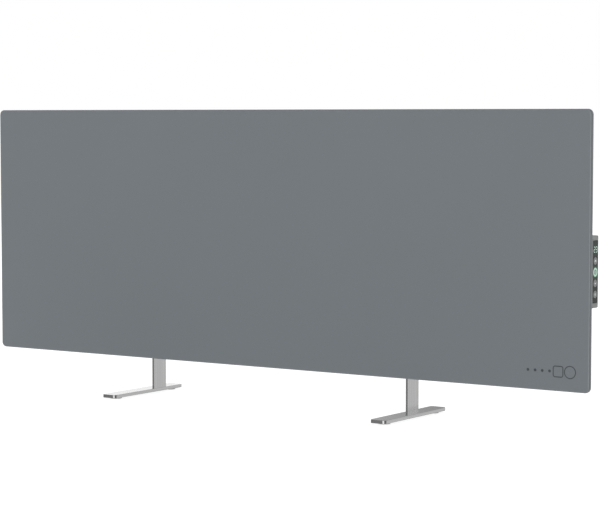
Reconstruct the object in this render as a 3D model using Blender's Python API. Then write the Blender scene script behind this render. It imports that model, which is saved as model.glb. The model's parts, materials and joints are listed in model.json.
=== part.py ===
"""Slim free-standing panel heater: a folded steel body on two flat-bar legs.

Metres, +Z up, +Y to the rear, +X to the side that carries the keys.
The origin is on the floor, under the middle of the body and midway along the feet.
"""

import math

import bmesh
import bpy
from mathutils import Matrix, Vector

# Fits between pieces
GAP = 0.0003            # clearance between pieces that touch on the real heater
HOLE_CLEARANCE = 0.0003 # radial clearance of a screw in its hole
OVERRUN = 0.002         # how far a cutter runs past what it cuts
MERGE = 0.000001        # vertices closer than this are one

# Facets
CORNER_STEPS = 5        # steps round a quarter circle of an outline
BEND_STEPS = 3          # steps round a sheet metal bend
TURNED_STEPS = 20       # steps round a turned piece
SMALL_STEPS = 12        # steps round a screw or a small hole
NARROW_STEPS = 2        # steps round the element's core between two close wings

# Front panel
PANEL_WIDTH = 0.938
PANEL_HEIGHT = 0.340
PANEL_CORNER = 0.007
PANEL_DEPTH = 0.0055    # panel's face to the back of its return flange
PANEL_SKIN = 0.0012
PANEL_BEND = 0.0020
RETURN_WIDTH = 0.016    # flange that turns in behind the panel
PANEL_LIFT = 0.0501     # floor to the panel's lower edge
PANEL_AHEAD = 0.005     # panel's face ahead of the middle of the feet

# Rear cover
BODY_DEPTH = 0.026      # panel's face to the cover's back
COVER_SKIN = 0.0008
COVER_RIM_INSET = 0.003
COVER_WALL_INSET = 0.021
COVER_CORNER = 0.012
COVER_BEND = 0.0025

# Pressed louvres in the cover's back
LOUVRE_LENGTH = 0.062
LOUVRE_HEIGHT = 0.008
LOUVRE_RISE = 0.0028
LOUVRE_SLOT = 0.0014
LOUVRE_END = 0.007
LOUVRE_PITCH = 0.078
LOUVRE_ROW_PITCH = 0.0145
LOUVRE_ROWS = 2
LOUVRE_MARGIN = 0.004
UPPER_BANK_DROP = 0.014 # cover's upper wall to the upper bank
LOWER_BANK_RISE = 0.014 # cover's lower wall to the lower banks
BANK_SIDE_MARGIN = 0.030
LEG_CLEAR_WIDTH = 0.084 # flat width left for each leg

# Cover screws
COVER_SCREW_HEAD = 0.0068
COVER_SCREW_HEAD_HEIGHT = 0.0018
COVER_SCREW_SHANK = 0.0030
COVER_SCREW_LENGTH = 0.0045
COVER_SCREW_INSET = 0.0105
COVER_SCREW_CORNER = 0.060 # screw to the panel's side edge
DRIVE_REACH_SHARE = 0.28 # half the width of a cross recess, of its head
DRIVE_DEPTH = 0.0009

# Legs
FOOT_SPACING = 0.428
FOOT_LENGTH = 0.150
FOOT_WIDTH = 0.023
FOOT_THICKNESS = 0.0045
FOOT_CORNER = 0.0045
FOOT_EDGE = 0.0005
PAD_DIAMETER = 0.016
PAD_THICKNESS = 0.0015
PAD_INSET = 0.016       # pad's middle to the end of the foot
UPRIGHT_DEPTH = 0.027
UPRIGHT_THICKNESS = 0.003
UPRIGHT_FRONT = 0.0155  # panel's face to the upright's front edge
UPRIGHT_LIP = 0.0005    # upright's inner side to the foot's inner edge
UPRIGHT_TOP_ROUND = 0.006
TENON_LENGTH = 0.007
TENON_INSET = 0.0035
TENON_SHORT = 0.0006    # tenon's end above the foot's underside
FLANGE_WIDTH = 0.026
FLANGE_INNER_BEND = 0.001
FLANGE_START = 0.006    # cover's lower wall to the flange
FLANGE_HEIGHT = 0.086
FLANGE_SCREW_INSET = 0.014
LEG_SCREW_HEAD = 0.0090
LEG_SCREW_HEAD_HEIGHT = 0.0026
LEG_SCREW_SHANK = 0.0040
LEG_SCREW_TAIL = 0.0012 # screw's end past the backing plate
BACKING_THICKNESS = 0.0020
BACKING_MARGIN = 0.003

# Heating element
ELEMENT_HEIGHT = 0.052
ELEMENT_DEPTH = 0.014
ELEMENT_CORE = 0.0100
ELEMENT_WING = 0.0016
ELEMENT_PIN = 0.0060
ELEMENT_PIN_LENGTH = 0.026
ELEMENT_RISE = 0.105    # panel's lower edge to the element's axis
BUSH_OUTER = 0.0120
BUSH_FLANGE = 0.0160
BUSH_FLANGE_THICKNESS = 0.0020
BUSH_LENGTH = 0.0075
BRACKET_SKIN = 0.0015
BRACKET_HEIGHT = 0.034
BRACKET_FOOT = 0.014
BRACKET_END = 0.005     # element's end to the bracket
BRACKET_FRONT_GAP = 0.0030

# Heat shield behind the element
SHIELD_SKIN = 0.0006
SHIELD_AIR = 0.0010     # shield to the ends of the leg screws
SHIELD_HEIGHT = 0.130
SHIELD_FLANGE = 0.010
SHIELD_OVERHANG = 0.004 # shield past the element's brackets
WIRING_ROOM = 0.0317    # shield's end to the terminal block

# Thermal cut-out on the shield
CUTOUT_DIAMETER = 0.0155
CUTOUT_HEIGHT = 0.0065
CUTOUT_CAP = 0.0120
CUTOUT_CAP_HEIGHT = 0.0025
CUTOUT_TAB = 0.0045
CUTOUT_TAB_THICKNESS = 0.0008
CUTOUT_TAB_SPACING = 0.0080
CUTOUT_OFFSET = 0.120   # from the middle of the element
CUTOUT_ABOVE = 0.010    # above the element's wing

# Terminal block and cable entry
BLOCK_LENGTH = 0.030
BLOCK_HEIGHT = 0.013
BLOCK_DEPTH = 0.012
BLOCK_POLES = 3
BLOCK_SCREW_WELL = 0.0044
BLOCK_WELL_DEPTH = 0.0060
BLOCK_SIDE_INSET = 0.012
BLOCK_RISE = 0.014
ENTRY_HOLE = 0.0110
ENTRY_FLANGE = 0.0170
ENTRY_FLANGE_THICKNESS = 0.0022
ENTRY_INNER_FLANGE = 0.0140
ENTRY_INNER_THICKNESS = 0.0018
ENTRY_DIMPLE = 0.0066
ENTRY_DIMPLE_DEPTH = 0.0020
ENTRY_SIDE_INSET = 0.024
ENTRY_RISE = 0.0125

# Control housing
HOUSING_BELOW_MIDDLE = 0.0245 # housing's middle under the panel's middle
HOUSING_DEPTH = 0.0162  # front to rear, shallower than the cover
HOUSING_RIM = 0.0061    # housing's upper and lower end to the lens
HOUSING_FACE = 0.0018
HOUSING_SIDE = 0.0015
HOUSING_END = 0.0022
HOUSING_ROUND = 0.0016
HOUSING_EDGE = 0.0006
HOUSING_SET_BACK = 0.0005 # housing's face inside the panel's side edge
EAR_LENGTH = 0.011
EAR_THICKNESS = 0.0020
EAR_SET_BACK = 0.0050
EAR_WIDTH = 0.010
EAR_ROUND = 0.003
EAR_SCREW_HEAD = 0.0052
EAR_SCREW_HEAD_HEIGHT = 0.0015
EAR_SCREW_SHANK = 0.0024
VENT_WIDTH = 0.0012
VENT_LENGTH = 0.0075
VENT_PITCH = 0.0026
VENT_COUNT = 4
WIRE_HOLE = 0.0060
WIRE_HOLE_DROP = 0.024  # under the housing's middle

# Lens, display and keys
LENS_TOP_MARGIN = 0.0111 # lens's upper end to the display's middle
LENS_LOW_MARGIN = 0.0102 # lens's lower end to the last key's middle
LENS_LIP = 0.0018
LENS_LIP_THICKNESS = 0.0010
LENS_ROUND = 0.0010
LENS_PROUD = 0.0001     # lens face past the housing's face
DISPLAY_HEIGHT = 0.0145
DISPLAY_WIDTH = 0.0108
DISPLAY_RISE = 0.0133   # first key's middle to the display's middle
KEY_DIAMETER = 0.0094
KEY_PITCH = 0.0134
KEY_PROUD = 0.0002
KEY_EDGE = 0.0005
KEY_DISH = 0.0002
KEY_COLLAR = 0.0112
KEY_COLLAR_THICKNESS = 0.0008
KEY_STEM = 0.0034
KEY_TRAVEL = 0.0006
KEY_PRESSED_GAP = 0.0002
POWER_KEY_DIAMETER = 0.0060
RING_OUTER = 0.0108
RING_FLANGE = 0.0118
RING_FLANGE_THICKNESS = 0.0008

# Circuit board behind the keys
BOARD_THICKNESS = 0.0016
BOARD_DEPTH = 0.0116    # panel's side edge to the board's face
BOARD_END_GAP = 0.0015
SWITCH_WIDTH = 0.0060
SWITCH_HEIGHT = 0.0032
PLUNGER_DIAMETER = 0.0034
PLUNGER_HEIGHT = 0.0008
RELAY_LENGTH = 0.0200
RELAY_WIDTH = 0.0100
RELAY_DEPTH = 0.0070
RELAY_ROUND = 0.0006
RELAY_BELOW_MIDDLE = 0.020
CAPACITOR_DIAMETER = 0.0080
CAPACITOR_LENGTH = 0.0068
CAPACITOR_ROUND = 0.0006
CAPACITOR_ABOVE_MIDDLE = 0.022
SENSOR_DIAMETER = 0.0030
SENSOR_LENGTH = 0.0050
SENSOR_ABOVE_END = 0.0060

# Places worked out from the sizes above
FACE_Y = -PANEL_AHEAD
RETURN_Y = FACE_Y + PANEL_DEPTH
RIM_Y = RETURN_Y + GAP + COVER_SKIN
BACK_Y = FACE_Y + BODY_DEPTH
INSIDE_Y = BACK_Y - COVER_SKIN
BOTTOM_Z = PANEL_LIFT
MIDDLE_Z = BOTTOM_Z + PANEL_HEIGHT / 2
SIDE_X = PANEL_WIDTH / 2
BOX_WIDTH = PANEL_WIDTH - 2 * COVER_WALL_INSET
BOX_HEIGHT = PANEL_HEIGHT - 2 * COVER_WALL_INSET
BOX_SIDE_X = BOX_WIDTH / 2
BOX_BOTTOM_Z = MIDDLE_Z - BOX_HEIGHT / 2
BOX_TOP_Z = MIDDLE_Z + BOX_HEIGHT / 2

FOOT_BOTTOM_Z = PAD_THICKNESS + GAP
FOOT_TOP_Z = FOOT_BOTTOM_Z + FOOT_THICKNESS
UPRIGHT_INNER_X = FOOT_SPACING / 2 - FOOT_WIDTH / 2 + UPRIGHT_LIP
UPRIGHT_FRONT_Y = FACE_Y + UPRIGHT_FRONT
UPRIGHT_REAR_Y = UPRIGHT_FRONT_Y + UPRIGHT_DEPTH
FLANGE_Y = BACK_Y + GAP
FLANGE_LOW_Z = BOX_BOTTOM_Z + FLANGE_START
FLANGE_HIGH_Z = FLANGE_LOW_Z + FLANGE_HEIGHT
FLANGE_BEND = FLANGE_INNER_BEND + UPRIGHT_THICKNESS
LEG_SCREW_X = UPRIGHT_INNER_X + (FLANGE_BEND + FLANGE_WIDTH) / 2
LEG_SCREW_HEIGHTS = (FLANGE_LOW_Z + FLANGE_SCREW_INSET, FLANGE_HIGH_Z - FLANGE_SCREW_INSET)
BACKING_Y = INSIDE_Y - GAP

ELEMENT_Z = BOTTOM_Z + ELEMENT_RISE
SHIELD_STAND_OFF = BACKING_THICKNESS + LEG_SCREW_TAIL + SHIELD_AIR
SHIELD_FACE_Y = INSIDE_Y - GAP - SHIELD_STAND_OFF - SHIELD_SKIN
ELEMENT_Y = (FACE_Y + PANEL_SKIN + SHIELD_FACE_Y) / 2
BLOCK_RIGHT_X = BOX_SIDE_X - COVER_SKIN - BLOCK_SIDE_INSET
SHIELD_HALF = BLOCK_RIGHT_X - BLOCK_LENGTH - WIRING_ROOM
BRACKET_X = SHIELD_HALF - SHIELD_OVERHANG - BRACKET_FOOT
ELEMENT_LENGTH = 2 * (BRACKET_X - BRACKET_END)

KEY_NAMES = ("key_up", "key_power", "key_down", "key_menu")
KEY_SPAN = (len(KEY_NAMES) - 1) * KEY_PITCH
LENS_HEIGHT = LENS_LOW_MARGIN + KEY_SPAN + DISPLAY_RISE + LENS_TOP_MARGIN
HOUSING_HEIGHT = LENS_HEIGHT + 2 * HOUSING_RIM
HOUSING_Z = MIDDLE_Z - HOUSING_BELOW_MIDDLE
HOUSING_FACE_X = SIDE_X - HOUSING_SET_BACK
HOUSING_BACK_X = BOX_SIDE_X + GAP
HOUSING_FRONT_Y = RETURN_Y + GAP
HOUSING_Y = HOUSING_FRONT_Y + HOUSING_DEPTH / 2
LENS_WIDTH = HOUSING_DEPTH - 2 * HOUSING_SIDE - 2 * GAP
LENS_FACE_X = HOUSING_FACE_X + LENS_PROUD
LENS_LIP_X = HOUSING_FACE_X - HOUSING_FACE - GAP
LENS_BACK_X = LENS_LIP_X - LENS_LIP_THICKNESS
COLLAR_X = LENS_BACK_X - GAP
BOARD_X = SIDE_X - BOARD_DEPTH
SWITCH_BASE_X = BOARD_X + GAP
PLUNGER_TOP_X = SWITCH_BASE_X + SWITCH_HEIGHT + PLUNGER_HEIGHT
KEY_END_X = PLUNGER_TOP_X + KEY_PRESSED_GAP + KEY_TRAVEL
KEY_FACE_X = LENS_FACE_X + KEY_PROUD
KEY_FIRST_Z = HOUSING_Z - LENS_HEIGHT / 2 + LENS_LOW_MARGIN + KEY_SPAN
DISPLAY_Z = KEY_FIRST_Z + DISPLAY_RISE


def key_height(index):
    """Height of a key's middle, counted from the uppermost key."""
    return KEY_FIRST_Z - index * KEY_PITCH


# Scene and materials

for old in list(bpy.data.objects):
    bpy.data.objects.remove(old, do_unlink=True)


def finish(name, colour, roughness, metallic):
    """Principled material with one colour."""
    made = bpy.data.materials.new(name)
    made.use_nodes = True
    shader = made.node_tree.nodes["Principled BSDF"]
    shader.inputs["Base Color"].default_value = (*colour, 1)
    shader.inputs["Roughness"].default_value = roughness
    shader.inputs["Metallic"].default_value = metallic
    made.diffuse_color = (*colour, 1)
    return made


GREY_PAINT = finish("grey_powder_coat", (0.175, 0.195, 0.209), 0.4, 0)
COVER_PAINT = finish("cover_powder_coat", (0.16, 0.18, 0.19), 0.5, 0)
SATIN_STEEL = finish("satin_steel", (0.78, 0.78, 0.78), 0.2, 1)
ZINC = finish("zinc_plate", (0.60, 0.61, 0.62), 0.35, 1)
ALUMINIUM = finish("aluminium", (0.72, 0.72, 0.73), 0.4, 1)
HOUSING_PLASTIC = finish("housing_plastic", (0.38, 0.40, 0.39), 0.5, 0)
LENS_PLASTIC = finish("lens_plastic", (0.02, 0.022, 0.022), 0.12, 0)
KEY_PLASTIC = finish("key_plastic", (0.36, 0.37, 0.37), 0.4, 0)
LIGHT_GUIDE = finish("light_guide", (0.36, 0.66, 0.50), 0.35, 0)
BLACK_PLASTIC = finish("black_plastic", (0.03, 0.03, 0.03), 0.5, 0)
BOARD_GREEN = finish("board_green", (0.03, 0.14, 0.07), 0.4, 0)
CERAMIC = finish("ceramic", (0.80, 0.78, 0.72), 0.5, 0)
RUBBER = finish("rubber", (0.03, 0.03, 0.03), 0.8, 0)
PAD_RUBBER = finish("pad_rubber", (0.74, 0.75, 0.74), 0.45, 0)
BLOCK_PLASTIC = finish("block_plastic", (0.78, 0.77, 0.72), 0.5, 0)

heater = bpy.data.objects.new("heater", None)
bpy.context.collection.objects.link(heater)


def place(name, shape, material, pivot=(0, 0, 0)):
    """Turn a finished shape into a named object whose origin is at the pivot."""
    bmesh.ops.recalc_face_normals(shape, faces=shape.faces)
    bmesh.ops.translate(shape, verts=shape.verts, vec=-Vector(pivot))
    mesh = bpy.data.meshes.new(name)
    shape.to_mesh(mesh)
    shape.free()
    mesh.materials.append(material)
    mesh.shade_smooth()
    mesh.set_sharp_from_angle(angle=math.radians(35))
    made = bpy.data.objects.new(name, mesh)
    made.location = pivot
    made.parent = heater
    bpy.context.collection.objects.link(made)
    return made


# Outlines


def arc(middle_u, middle_v, radius, start, end, steps):
    """Points round part of a circle, from the start angle to the end angle."""
    points = []
    for step in range(steps + 1):
        angle = start + (end - start) * step / steps
        points.append((middle_u + radius * math.cos(angle), middle_v + radius * math.sin(angle)))
    return points


def rounded_outline(width, height, radius, steps=CORNER_STEPS, middle=(0, 0)):
    """Rectangle with round corners, counter-clockwise from its lower right corner."""
    reach_u = width / 2 - radius
    reach_v = height / 2 - radius
    points = []
    for quarter, (sign_u, sign_v) in enumerate(((1, -1), (1, 1), (-1, 1), (-1, -1))):
        start = math.radians(90) * (quarter - 1)
        corner = (middle[0] + sign_u * reach_u, middle[1] + sign_v * reach_v)
        points += arc(*corner, radius, start, start + math.radians(90), steps)
    return points


def circle_outline(diameter, middle=(0, 0), steps=SMALL_STEPS):
    """Closed circle without a repeated point."""
    return arc(*middle, diameter / 2, 0, math.tau, steps)[:-1]


def facing_front(u, v, w):
    """Outline in width and height, thickness towards the rear."""
    return Vector((u, w, v))


def facing_side(u, v, w):
    """Outline in depth and height, thickness towards +X."""
    return Vector((w, u, v))


def facing_up(u, v, w):
    """Outline in width and depth, thickness upwards."""
    return Vector((u, v, w))


# Solids


def skin(shape, rings):
    """Join rings of equally many vertices with quads and return their vertices."""
    made = [[shape.verts.new(point) for point in ring] for ring in rings]
    for first, second in zip(made, made[1:]):
        for index in range(len(first)):
            shape.faces.new((first[index - 1], first[index], second[index], second[index - 1]))
    return made


def lofted(rings):
    """Closed solid through rings, with a flat face on each end."""
    shape = bmesh.new()
    made = skin(shape, rings)
    shape.faces.new(made[0])
    shape.faces.new(made[-1])
    return shape


def plate(outline, holes, facing, low, high):
    """Flat plate with holes, between two levels of its thickness."""
    shape = bmesh.new()
    edges = []
    for loop in [outline, *holes]:
        verts = [shape.verts.new(facing(u, v, low)) for u, v in loop]
        edges += [shape.edges.new((verts[index - 1], verts[index])) for index in range(len(verts))]
    bmesh.ops.triangle_fill(shape, use_beauty=True, edges=edges)
    grown = bmesh.ops.extrude_face_region(shape, geom=shape.faces[:])
    raised = [item for item in grown["geom"] if isinstance(item, bmesh.types.BMVert)]
    bmesh.ops.translate(shape, verts=raised, vec=facing(0, 0, high) - facing(0, 0, low))
    return shape


def block(low, high):
    """Box between two corners."""
    ring = [(low[0], low[1]), (high[0], low[1]), (high[0], high[1]), (low[0], high[1])]
    return lofted([[(u, v, level) for u, v in ring] for level in (low[2], high[2])])


def turned(profile, middle, axis, steps=TURNED_STEPS):
    """Solid turned about an axis, from (radius, distance along the axis) points."""
    shape = bmesh.new()
    verts = [shape.verts.new((radius, 0, along)) for radius, along in profile]
    edges = [shape.edges.new(pair) for pair in zip(verts, verts[1:])]
    bmesh.ops.spin(shape, geom=verts + edges, cent=(0, 0, 0), axis=(0, 0, 1),
                   angle=math.tau, steps=steps, use_merge=True)
    bmesh.ops.remove_doubles(shape, verts=shape.verts, dist=MERGE)
    turn = Vector((0, 0, 1)).rotation_difference(Vector(axis)).to_matrix().to_4x4()
    bmesh.ops.transform(shape, matrix=Matrix.Translation(middle) @ turn, verts=shape.verts)
    return shape


def rod(diameter, start, end, steps=SMALL_STEPS):
    """Plain cylinder between two points."""
    along = Vector(end) - Vector(start)
    radius = diameter / 2
    profile = ((0, 0), (radius, 0), (radius, along.length), (0, along.length))
    return turned(profile, start, along, steps)


def gathered(shapes):
    """Several separate shapes in one, for use as a cutter."""
    whole = bmesh.new()
    for shape in shapes:
        bmesh.ops.recalc_face_normals(shape, faces=shape.faces)
        piece = bpy.data.meshes.new("piece")
        shape.to_mesh(piece)
        shape.free()
        whole.from_mesh(piece)
        bpy.data.meshes.remove(piece)
    return whole


def boolean(shape, other, operation):
    """Shape after an exact Boolean with the other shape."""
    made = []
    for item in (shape, other):
        bmesh.ops.recalc_face_normals(item, faces=item.faces)
        mesh = bpy.data.meshes.new("operand")
        item.to_mesh(mesh)
        item.free()
        operand = bpy.data.objects.new("operand", mesh)
        bpy.context.collection.objects.link(operand)
        made.append(operand)
    step = made[0].modifiers.new("boolean", "BOOLEAN")
    step.operation = operation
    step.solver = "EXACT"
    step.object = made[1]
    bpy.context.view_layer.update()
    evaluated = made[0].evaluated_get(bpy.context.evaluated_depsgraph_get())
    result = bmesh.new()
    result.from_mesh(evaluated.to_mesh())
    evaluated.to_mesh_clear()
    for operand in made:
        mesh = operand.data
        bpy.data.objects.remove(operand, do_unlink=True)
        bpy.data.meshes.remove(mesh)
    bmesh.ops.remove_doubles(result, verts=result.verts, dist=MERGE)
    return result


def cut(shape, *cutters):
    """Shape with the cutters taken away."""
    return boolean(shape, gathered(cutters), "DIFFERENCE")


def joined(shape, other):
    """One solid from two that overlap."""
    return boolean(shape, other, "UNION")


def softened(shape, size, least_angle=60):
    """Bevel every edge that is sharper than the given angle in degrees."""
    bmesh.ops.recalc_face_normals(shape, faces=shape.faces)
    sharp = [edge for edge in shape.edges
             if edge.calc_face_angle(0) > math.radians(least_angle)]
    bmesh.ops.bevel(shape, geom=sharp, offset=size, segments=1, affect="EDGES")
    return shape


def mirrored(shape, side):
    """Shape kept for side 1, or mirrored across the middle for side -1."""
    bmesh.ops.scale(shape, vec=(side, 1, 1), verts=shape.verts)
    return shape


# Fasteners


def pan_screw(head, head_height, shank, seat, end, along):
    """Pan-head screw with a cross recess, seated at a point and driven along an axis."""
    length = (Vector(end) - Vector(seat)).length
    profile = (
        (0, length),
        (shank / 2, length),
        (shank / 2, 0),
        (head / 2, 0),
        (head / 2, -head_height / 2),
        (head / 3, -head_height),
        (0, -head_height),
    )
    screw = turned(profile, seat, along, SMALL_STEPS)
    along = Vector(along)
    top = Vector(seat) - along * head_height
    depth = along * DRIVE_DEPTH
    across = along.orthogonal().normalized() * head * DRIVE_REACH_SHARE
    other = along.cross(across)
    arms = []
    for first, second in ((across, other), (other, across)):
        reach = first + second / 4
        corners = (top - reach - depth, top + reach + depth)
        low = [min(pair) for pair in zip(*corners)]
        high = [max(pair) for pair in zip(*corners)]
        arms.append(block(low, high))
    return cut(screw, joined(*arms))


# Front panel and its return flange


def panel_ring(inset, depth):
    """Panel outline drawn in by an inset, at a depth behind the face."""
    radius = max(PANEL_CORNER - inset, PANEL_SKIN)
    outline = rounded_outline(PANEL_WIDTH - 2 * inset, PANEL_HEIGHT - 2 * inset, radius)
    return [facing_front(u, v + MIDDLE_Z, FACE_Y + depth) for u, v in outline]


def panel_section():
    """Insets and depths round the folded edge: outside, return flange, inside."""
    outside = arc(PANEL_BEND, PANEL_BEND, PANEL_BEND, math.radians(270), math.radians(180), BEND_STEPS)
    inner = PANEL_BEND - PANEL_SKIN
    inside = arc(PANEL_BEND, PANEL_BEND, inner, math.radians(180), math.radians(270), BEND_STEPS)
    bend = PANEL_SKIN
    fold = [
        (0, PANEL_DEPTH - bend),
        (bend, PANEL_DEPTH),
        (RETURN_WIDTH, PANEL_DEPTH),
        (RETURN_WIDTH, PANEL_DEPTH - PANEL_SKIN),
        (PANEL_SKIN, PANEL_DEPTH - PANEL_SKIN),
    ]
    return outside + fold + inside


def cover_screw_places():
    """Width and height of each screw that holds the cover to the return flange."""
    reach = SIDE_X - COVER_SCREW_CORNER
    rise = PANEL_HEIGHT / 2 - COVER_SCREW_INSET
    return [(side * reach, MIDDLE_Z + up * rise) for up in (1, -1) for side in (-1, 0, 1)]


def ear_screw_places():
    """Width and height of the two screws in the ears of the housing."""
    reach = HOUSING_HEIGHT / 2 + EAR_LENGTH / 2
    middle = SIDE_X - EAR_SET_BACK - EAR_WIDTH / 2
    return [(middle, HOUSING_Z + up * reach) for up in (1, -1)]


def through_holes(places, diameter, low, high):
    """Cylinders along Y at places in width and height."""
    return [rod(diameter, (x, low, z), (x, high, z)) for x, z in places]


def make_front_panel():
    shape = lofted([panel_ring(inset, depth) for inset, depth in panel_section()])
    low = RETURN_Y - PANEL_SKIN - OVERRUN
    high = RETURN_Y + OVERRUN
    cover_holes = through_holes(
        cover_screw_places(), COVER_SCREW_SHANK + 2 * HOLE_CLEARANCE, low, high)
    ear_holes = through_holes(
        ear_screw_places(), EAR_SCREW_SHANK + 2 * HOLE_CLEARANCE, low, high)
    place("front_panel", cut(shape, *cover_holes, *ear_holes), GREY_PAINT)


# Rear cover with its pressed louvres


def cover_ring(grow, y):
    """Outline of the cover's box, grown outwards, at a place in depth."""
    radius = COVER_CORNER + grow
    outline = rounded_outline(BOX_WIDTH + 2 * grow, BOX_HEIGHT + 2 * grow, radius)
    return [facing_front(u, v + MIDDLE_Z, y) for u, v in outline]


def cover_rim():
    """Outer edge of the rim that lies on the return flange."""
    radius = PANEL_CORNER - COVER_RIM_INSET
    outline = rounded_outline(
        PANEL_WIDTH - 2 * COVER_RIM_INSET, PANEL_HEIGHT - 2 * COVER_RIM_INSET, radius)
    return [facing_front(u, v + MIDDLE_Z, RIM_Y) for u, v in outline]


def louvre_columns(low, high):
    """Places across a bank, each with its share of the rise and whether a slot follows."""
    count = int((high - low - LOUVRE_LENGTH) / LOUVRE_PITCH) + 1
    used = (count - 1) * LOUVRE_PITCH + LOUVRE_LENGTH
    start = (low + high - used) / 2
    columns = [(start - LOUVRE_MARGIN, 0, False)]
    for index in range(count):
        left = start + index * LOUVRE_PITCH
        right = left + LOUVRE_LENGTH
        half = math.sin(math.radians(45))
        columns += [
            (left, 0, True),
            (left + LOUVRE_END / 2, half, True),
            (left + LOUVRE_END, 1, True),
            (right - LOUVRE_END, 1, True),
            (right - LOUVRE_END / 2, half, True),
            (right, 0, False),
        ]
    columns.append((start + used + LOUVRE_MARGIN, 0, False))
    return columns


def louvre_lines(top):
    """Heights down a bank, each with its share of the rise and whether a slot follows."""
    lines = [(top + LOUVRE_MARGIN, 0, False)]
    for row in range(LOUVRE_ROWS):
        crown = top - row * LOUVRE_ROW_PITCH
        for step in range(BEND_STEPS + 1):
            share = step / BEND_STEPS
            rise = math.sin(math.radians(90) * share)
            lines.append((crown - share * LOUVRE_HEIGHT, rise, step == BEND_STEPS))
        lines.append((crown - LOUVRE_HEIGHT - LOUVRE_SLOT, 0, False))
    lines.append((lines[-1][0] - LOUVRE_MARGIN, 0, False))
    return lines


def press_bank(shape, low, high, top):
    """Grid of louvre hoods with open slots, returned as the bank's outer edges."""
    columns = louvre_columns(low, high)
    lines = louvre_lines(top)
    grid = [[shape.verts.new((x, BACK_Y + LOUVRE_RISE * across * down, z))
             for x, across, _ in columns] for z, down, _ in lines]
    for row, (_, _, slot_below) in enumerate(lines[:-1]):
        for column, (_, _, inside) in enumerate(columns[:-1]):
            if slot_below and inside:
                continue
            shape.faces.new((grid[row][column], grid[row][column + 1],
                             grid[row + 1][column + 1], grid[row + 1][column]))
    right = [line[-1] for line in grid]
    left = [line[0] for line in grid]
    border = grid[0] + right[1:] + grid[-1][-2::-1] + left[-2:0:-1]
    return [shape.edges.get((border[index - 1], border[index])) for index in range(len(border))]


def louvre_banks():
    """Low and high end and top of each bank of louvres."""
    reach = BOX_SIDE_X - BANK_SIDE_MARGIN
    upper = BOX_TOP_Z - UPPER_BANK_DROP
    bank_height = (LOUVRE_ROWS - 1) * LOUVRE_ROW_PITCH + LOUVRE_HEIGHT + LOUVRE_SLOT
    lower = BOX_BOTTOM_Z + LOWER_BANK_RISE + bank_height
    leg_inner = FOOT_SPACING / 2 - LEG_CLEAR_WIDTH / 2
    leg_outer = FOOT_SPACING / 2 + LEG_CLEAR_WIDTH / 2
    return (
        (-reach, reach, upper),
        (-reach, -leg_outer, lower),
        (-leg_inner, leg_inner, lower),
        (leg_outer, reach, lower),
    )


def leg_screw_places():
    """Width and height of the screws through both leg flanges."""
    return [(side * LEG_SCREW_X, height) for side in (-1, 1) for height in LEG_SCREW_HEIGHTS]


def entry_place():
    """Width and height of the cable entry."""
    return (BOX_SIDE_X - ENTRY_SIDE_INSET, BOX_BOTTOM_Z + ENTRY_RISE)


def make_rear_cover():
    shape = bmesh.new()
    half_bend = COVER_BEND * (1 - math.sin(math.radians(45)))
    rings = skin(shape, [
        cover_rim(),
        cover_ring(COVER_BEND, RIM_Y),
        cover_ring(half_bend, RIM_Y + half_bend),
        cover_ring(0, RIM_Y + COVER_BEND),
        cover_ring(0, BACK_Y - COVER_BEND),
        cover_ring(-half_bend, BACK_Y - half_bend),
        cover_ring(-COVER_BEND, BACK_Y),
    ])
    border = rings[-1]
    edges = [shape.edges.get((border[index - 1], border[index])) for index in range(len(border))]
    for low, high, top in louvre_banks():
        edges += press_bank(shape, low, high, top)
    bmesh.ops.triangle_fill(shape, use_beauty=True, edges=edges)
    bmesh.ops.recalc_face_normals(shape, faces=shape.faces)
    facing = sum(face.normal.y * face.calc_area() for face in shape.faces)
    if facing < 0:
        bmesh.ops.reverse_faces(shape, faces=shape.faces)
    bmesh.ops.solidify(shape, geom=shape.faces[:], thickness=COVER_SKIN)
    rim_low = RIM_Y - COVER_SKIN - OVERRUN
    rim_high = RIM_Y + OVERRUN
    rim_holes = through_holes(
        cover_screw_places(), COVER_SCREW_SHANK + 2 * HOLE_CLEARANCE, rim_low, rim_high)
    leg_holes = through_holes(
        leg_screw_places(), LEG_SCREW_SHANK + 2 * HOLE_CLEARANCE, INSIDE_Y - OVERRUN, BACK_Y + OVERRUN)
    entry = through_holes([entry_place()], ENTRY_HOLE, INSIDE_Y - OVERRUN, BACK_Y + OVERRUN)
    notch_half = HOUSING_HEIGHT / 2 + EAR_LENGTH + GAP
    notch = block((BOX_SIDE_X + GAP, rim_low, HOUSING_Z - notch_half),
                  (SIDE_X + OVERRUN, RIM_Y + COVER_BEND + OVERRUN, HOUSING_Z + notch_half))
    wire_z = HOUSING_Z - WIRE_HOLE_DROP
    wire_hole = rod(WIRE_HOLE, (BOX_SIDE_X - COVER_SKIN - OVERRUN, HOUSING_Y, wire_z),
                    (BOX_SIDE_X + OVERRUN, HOUSING_Y, wire_z))
    shape = cut(shape, *rim_holes, *leg_holes, *entry, notch, wire_hole)
    place("rear_cover", shape, COVER_PAINT)


def make_cover_screws():
    for number, (x, z) in enumerate(cover_screw_places(), start=1):
        seat = (x, RIM_Y + GAP, z)
        end = (x, RIM_Y + GAP - COVER_SCREW_LENGTH, z)
        screw = pan_screw(
            COVER_SCREW_HEAD, COVER_SCREW_HEAD_HEIGHT, COVER_SCREW_SHANK, seat, end, (0, -1, 0))
        place(f"cover_screw_{number}", screw, ZINC, pivot=seat)


# Legs


def foot_ring(inset, z):
    """Foot outline drawn in by an inset, at a height."""
    outline = rounded_outline(
        FOOT_WIDTH - 2 * inset, FOOT_LENGTH - 2 * inset, FOOT_CORNER - inset, middle=(FOOT_SPACING / 2, 0))
    return [facing_up(u, v, z) for u, v in outline]


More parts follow.
